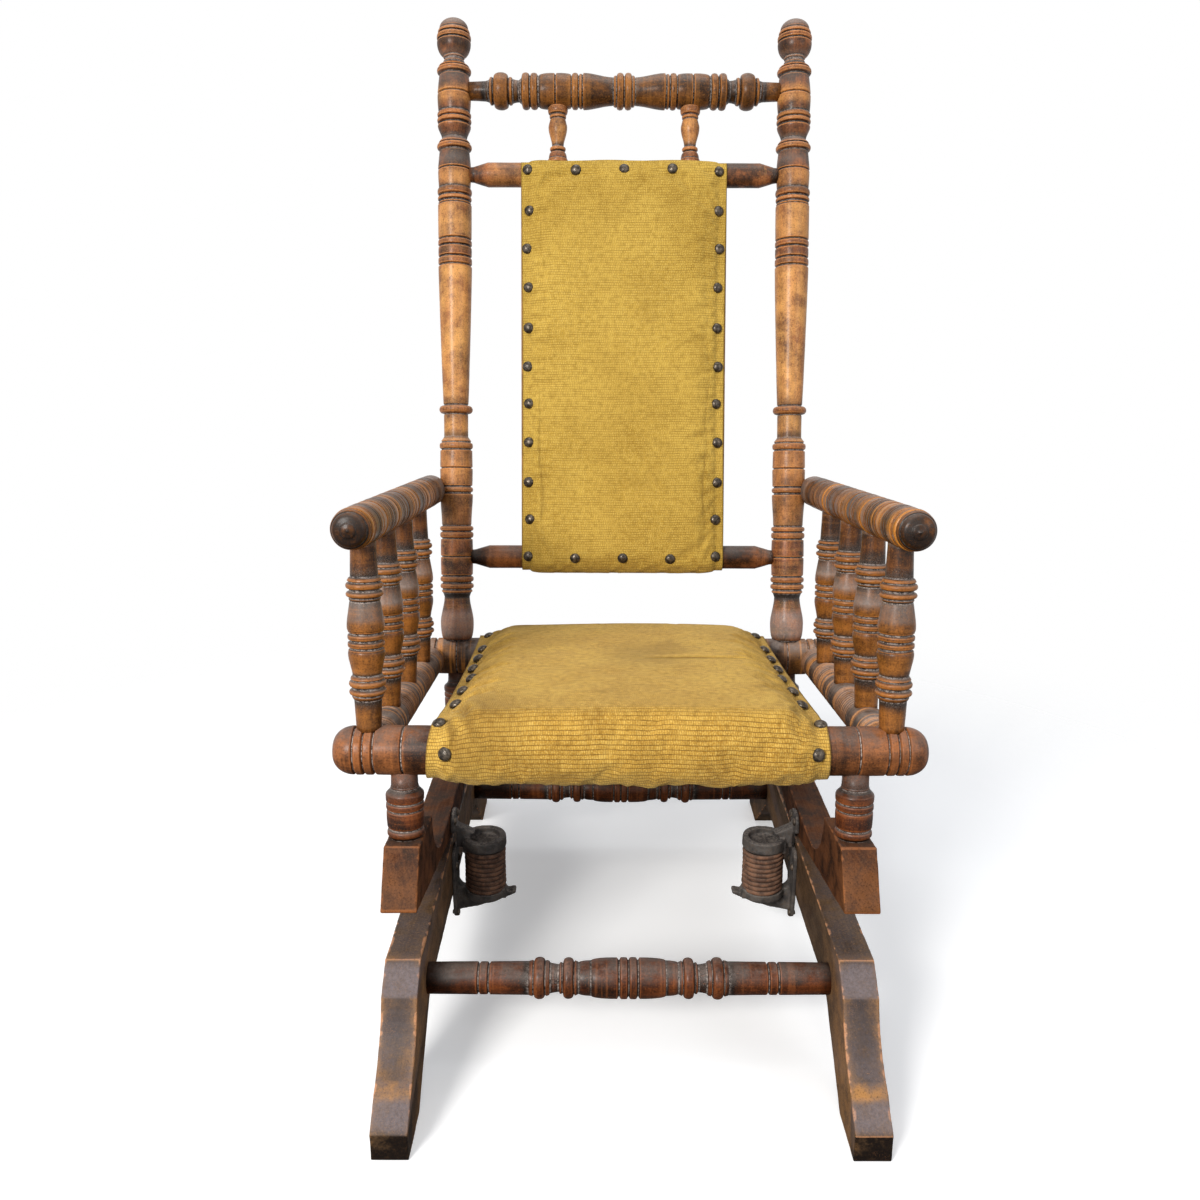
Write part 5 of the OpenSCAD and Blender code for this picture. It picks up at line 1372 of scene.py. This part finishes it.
def plainWood():
    material, tree, _ = startMaterial("plainWood")
    streak, patch = spotOn(tree).cloud((420, 60, 60), 4, 0.6), spotOn(tree).cloud(18)
    colour = coated(streak.step(0.3, 0.75).between((112, 76, 46), (176, 130, 84)),
                    (patch.step(0.5, 0.75) * 0.5, (84, 60, 42)))
    return dressed(material, {"Base Color": colour, "Roughness": 0.75}, streak, 0.4, 0.0005)


jute, plain = webMaterial(), plainWood()


# straps side by side, each a thin closed sheet that waves a little
def webbing(name, starts, strapWidth, width, thick, frameMatrix, flatAxes, node):
    columns, rows = 61, 9
    points, faces, cloth = [], [], []
    for low in starts:
        faces += shellFaces(rows, columns, len(points))
        for layer in (0, thick):
            for w in low + strapWidth * np.arange(rows) / (rows - 1):
                for x in width * (np.arange(columns) / (columns - 1) - 0.5):
                    sag = 0.5 * math.sin(x * 0.09 + low) + 0.25 * math.sin(x * 0.31 + w * 0.2)
                    points.append(flatAxes(x, w, sag * 0.5 + layer))
                    cloth.append((x * mm, w * mm, 0))
    mesh = meshFrom(name, np.array(points) * mm, faces)
    outward(mesh)
    store(mesh, "cloth", cloth)
    mesh.transform(frameMatrix)
    mesh.materials.append(jute)
    piece = meshObject(name, mesh)
    finishPiece(piece, "chair", node)


webbing("seatWebbing", [places["railR"] + 15.12 + i * 65.82 for i in range(5)], 50.7, 342, 1.4, seatFrame,
        lambda x, w, t: (x, w, 21.0 + t), "seat_webbing")
webbing("backWebbing", [places["lowerRailZ"] + 14.5 + 73.75 * (i + 0.12) for i in range(6)], 73.75 * 0.76,
        250, 1.4, backFrame, lambda x, w, t: (x, -0.9 + t, w), "back_webbing")
for nodeName in ("seat_batten_left", "seat_batten_right", "back_stile_left", "back_stile_right"):
    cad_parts[nodeName].data.materials.append(plain)
print("webbing ready")

# Camera, light and floor
cameraView = {"place": (-29.27, -933.093 - places["originY"], 729.628), "yaw": 0.001, "pitch": 0.28,
              "roll": -0.003, "lens": 1095.86 / 1200 * 36}
lamps = {
    "keyLamp": {"place": (-1.4, -2.5, 1.7), "size": 0.9, "power": 112, "colour": (1, 0.98, 0.95)},
    "fillLamp": {"place": (2.0, -1.7, 1.5), "size": 1.2, "power": 15, "colour": (0.95, 0.97, 1)},
    "topLamp": {"place": (0.1, 0.2, 3.0), "size": 1.6, "power": 24, "colour": (0.96, 0.98, 1)},
}


def addCamera():
    camera = meshObject("camera", bpy.data.cameras.new("camera"))
    camera.data.lens = cameraView["lens"]
    camera.data.sensor_width = 36
    camera.data.clip_start = 0.05
    camera.matrix_world = (move(*cameraView["place"]) @ Matrix.Rotation(-cameraView["yaw"], 4, "Z")
                           @ Matrix.Rotation(math.pi / 2 - cameraView["pitch"], 4, "X")
                           @ Matrix.Rotation(-cameraView["roll"], 4, "Z"))
    bpy.context.scene.camera = camera


def addLamp(name, place, size, power, colour):
    lamp = meshObject(name, bpy.data.lights.new(name, "AREA"))
    lamp.data.energy, lamp.data.size, lamp.data.color = power, size, colour
    lamp.location = place
    lamp.rotation_euler = (Vector((0, 0, 0.45)) - Vector(place)).to_track_quat("-Z", "Y").to_euler()


def addWorld():
    world = bpy.data.worlds.new("studio")
    bpy.context.scene.world = world
    world.use_nodes = True
    tree = world.node_tree
    tree.nodes.clear()
    camera, glossy, through = (put(tree, "ShaderNodeLightPath", output=f"Is {kind} Ray")
                               for kind in ("Camera", "Glossy", "Transmission"))
    seen = camera.larger(glossy).larger(through)
    soft = put(tree, "ShaderNodeBackground", (0.88, 0.92, 1.0, 1), 0.38)
    white = put(tree, "ShaderNodeBackground", (1, 1, 1, 1), 1.0)
    feed(tree.nodes.new("ShaderNodeOutputWorld").inputs[0], seen.into("ShaderNodeMixShader", soft, white))


def addFloor(half=6.0):
    corners = [(x, y, 0) for x, y in box(-half, -half, half, half)]
    floor = meshObject("floor", meshFrom("floor", corners, [(0, 1, 2, 3)], False))
    material, tree, _ = startMaterial("paleFloor")
    shader = tree.nodes["Principled BSDF"]
    seen = put(tree, "ShaderNodeLightPath", output="Is Camera Ray")
    feedAll(shader, {"Base Color": seen.between((0.2, 0.19, 0.18, 1), (0.86, 0.86, 0.86, 1)),
                     "Roughness": 0.9, "Emission Color": (1, 1, 1, 1), "Emission Strength": seen * 0.3,
                     "Specular IOR Level": 0.1})
    far = spotOn(tree).into("ShaderNodeVectorMath", output="Value", operation="LENGTH")
    fade = far.step(0.5, 1.3).into("ShaderNodeMixShader", Value(shader.outputs[0]),
                                   put(tree, "ShaderNodeBsdfTransparent"))
    feed(tree.nodes["Material Output"].inputs["Surface"], fade)
    floor.data.materials.append(material)


addCamera()
for name, lamp in lamps.items():
    addLamp(name, **lamp)
addWorld()
addFloor()
bpy.context.scene.view_settings.view_transform = "Standard"
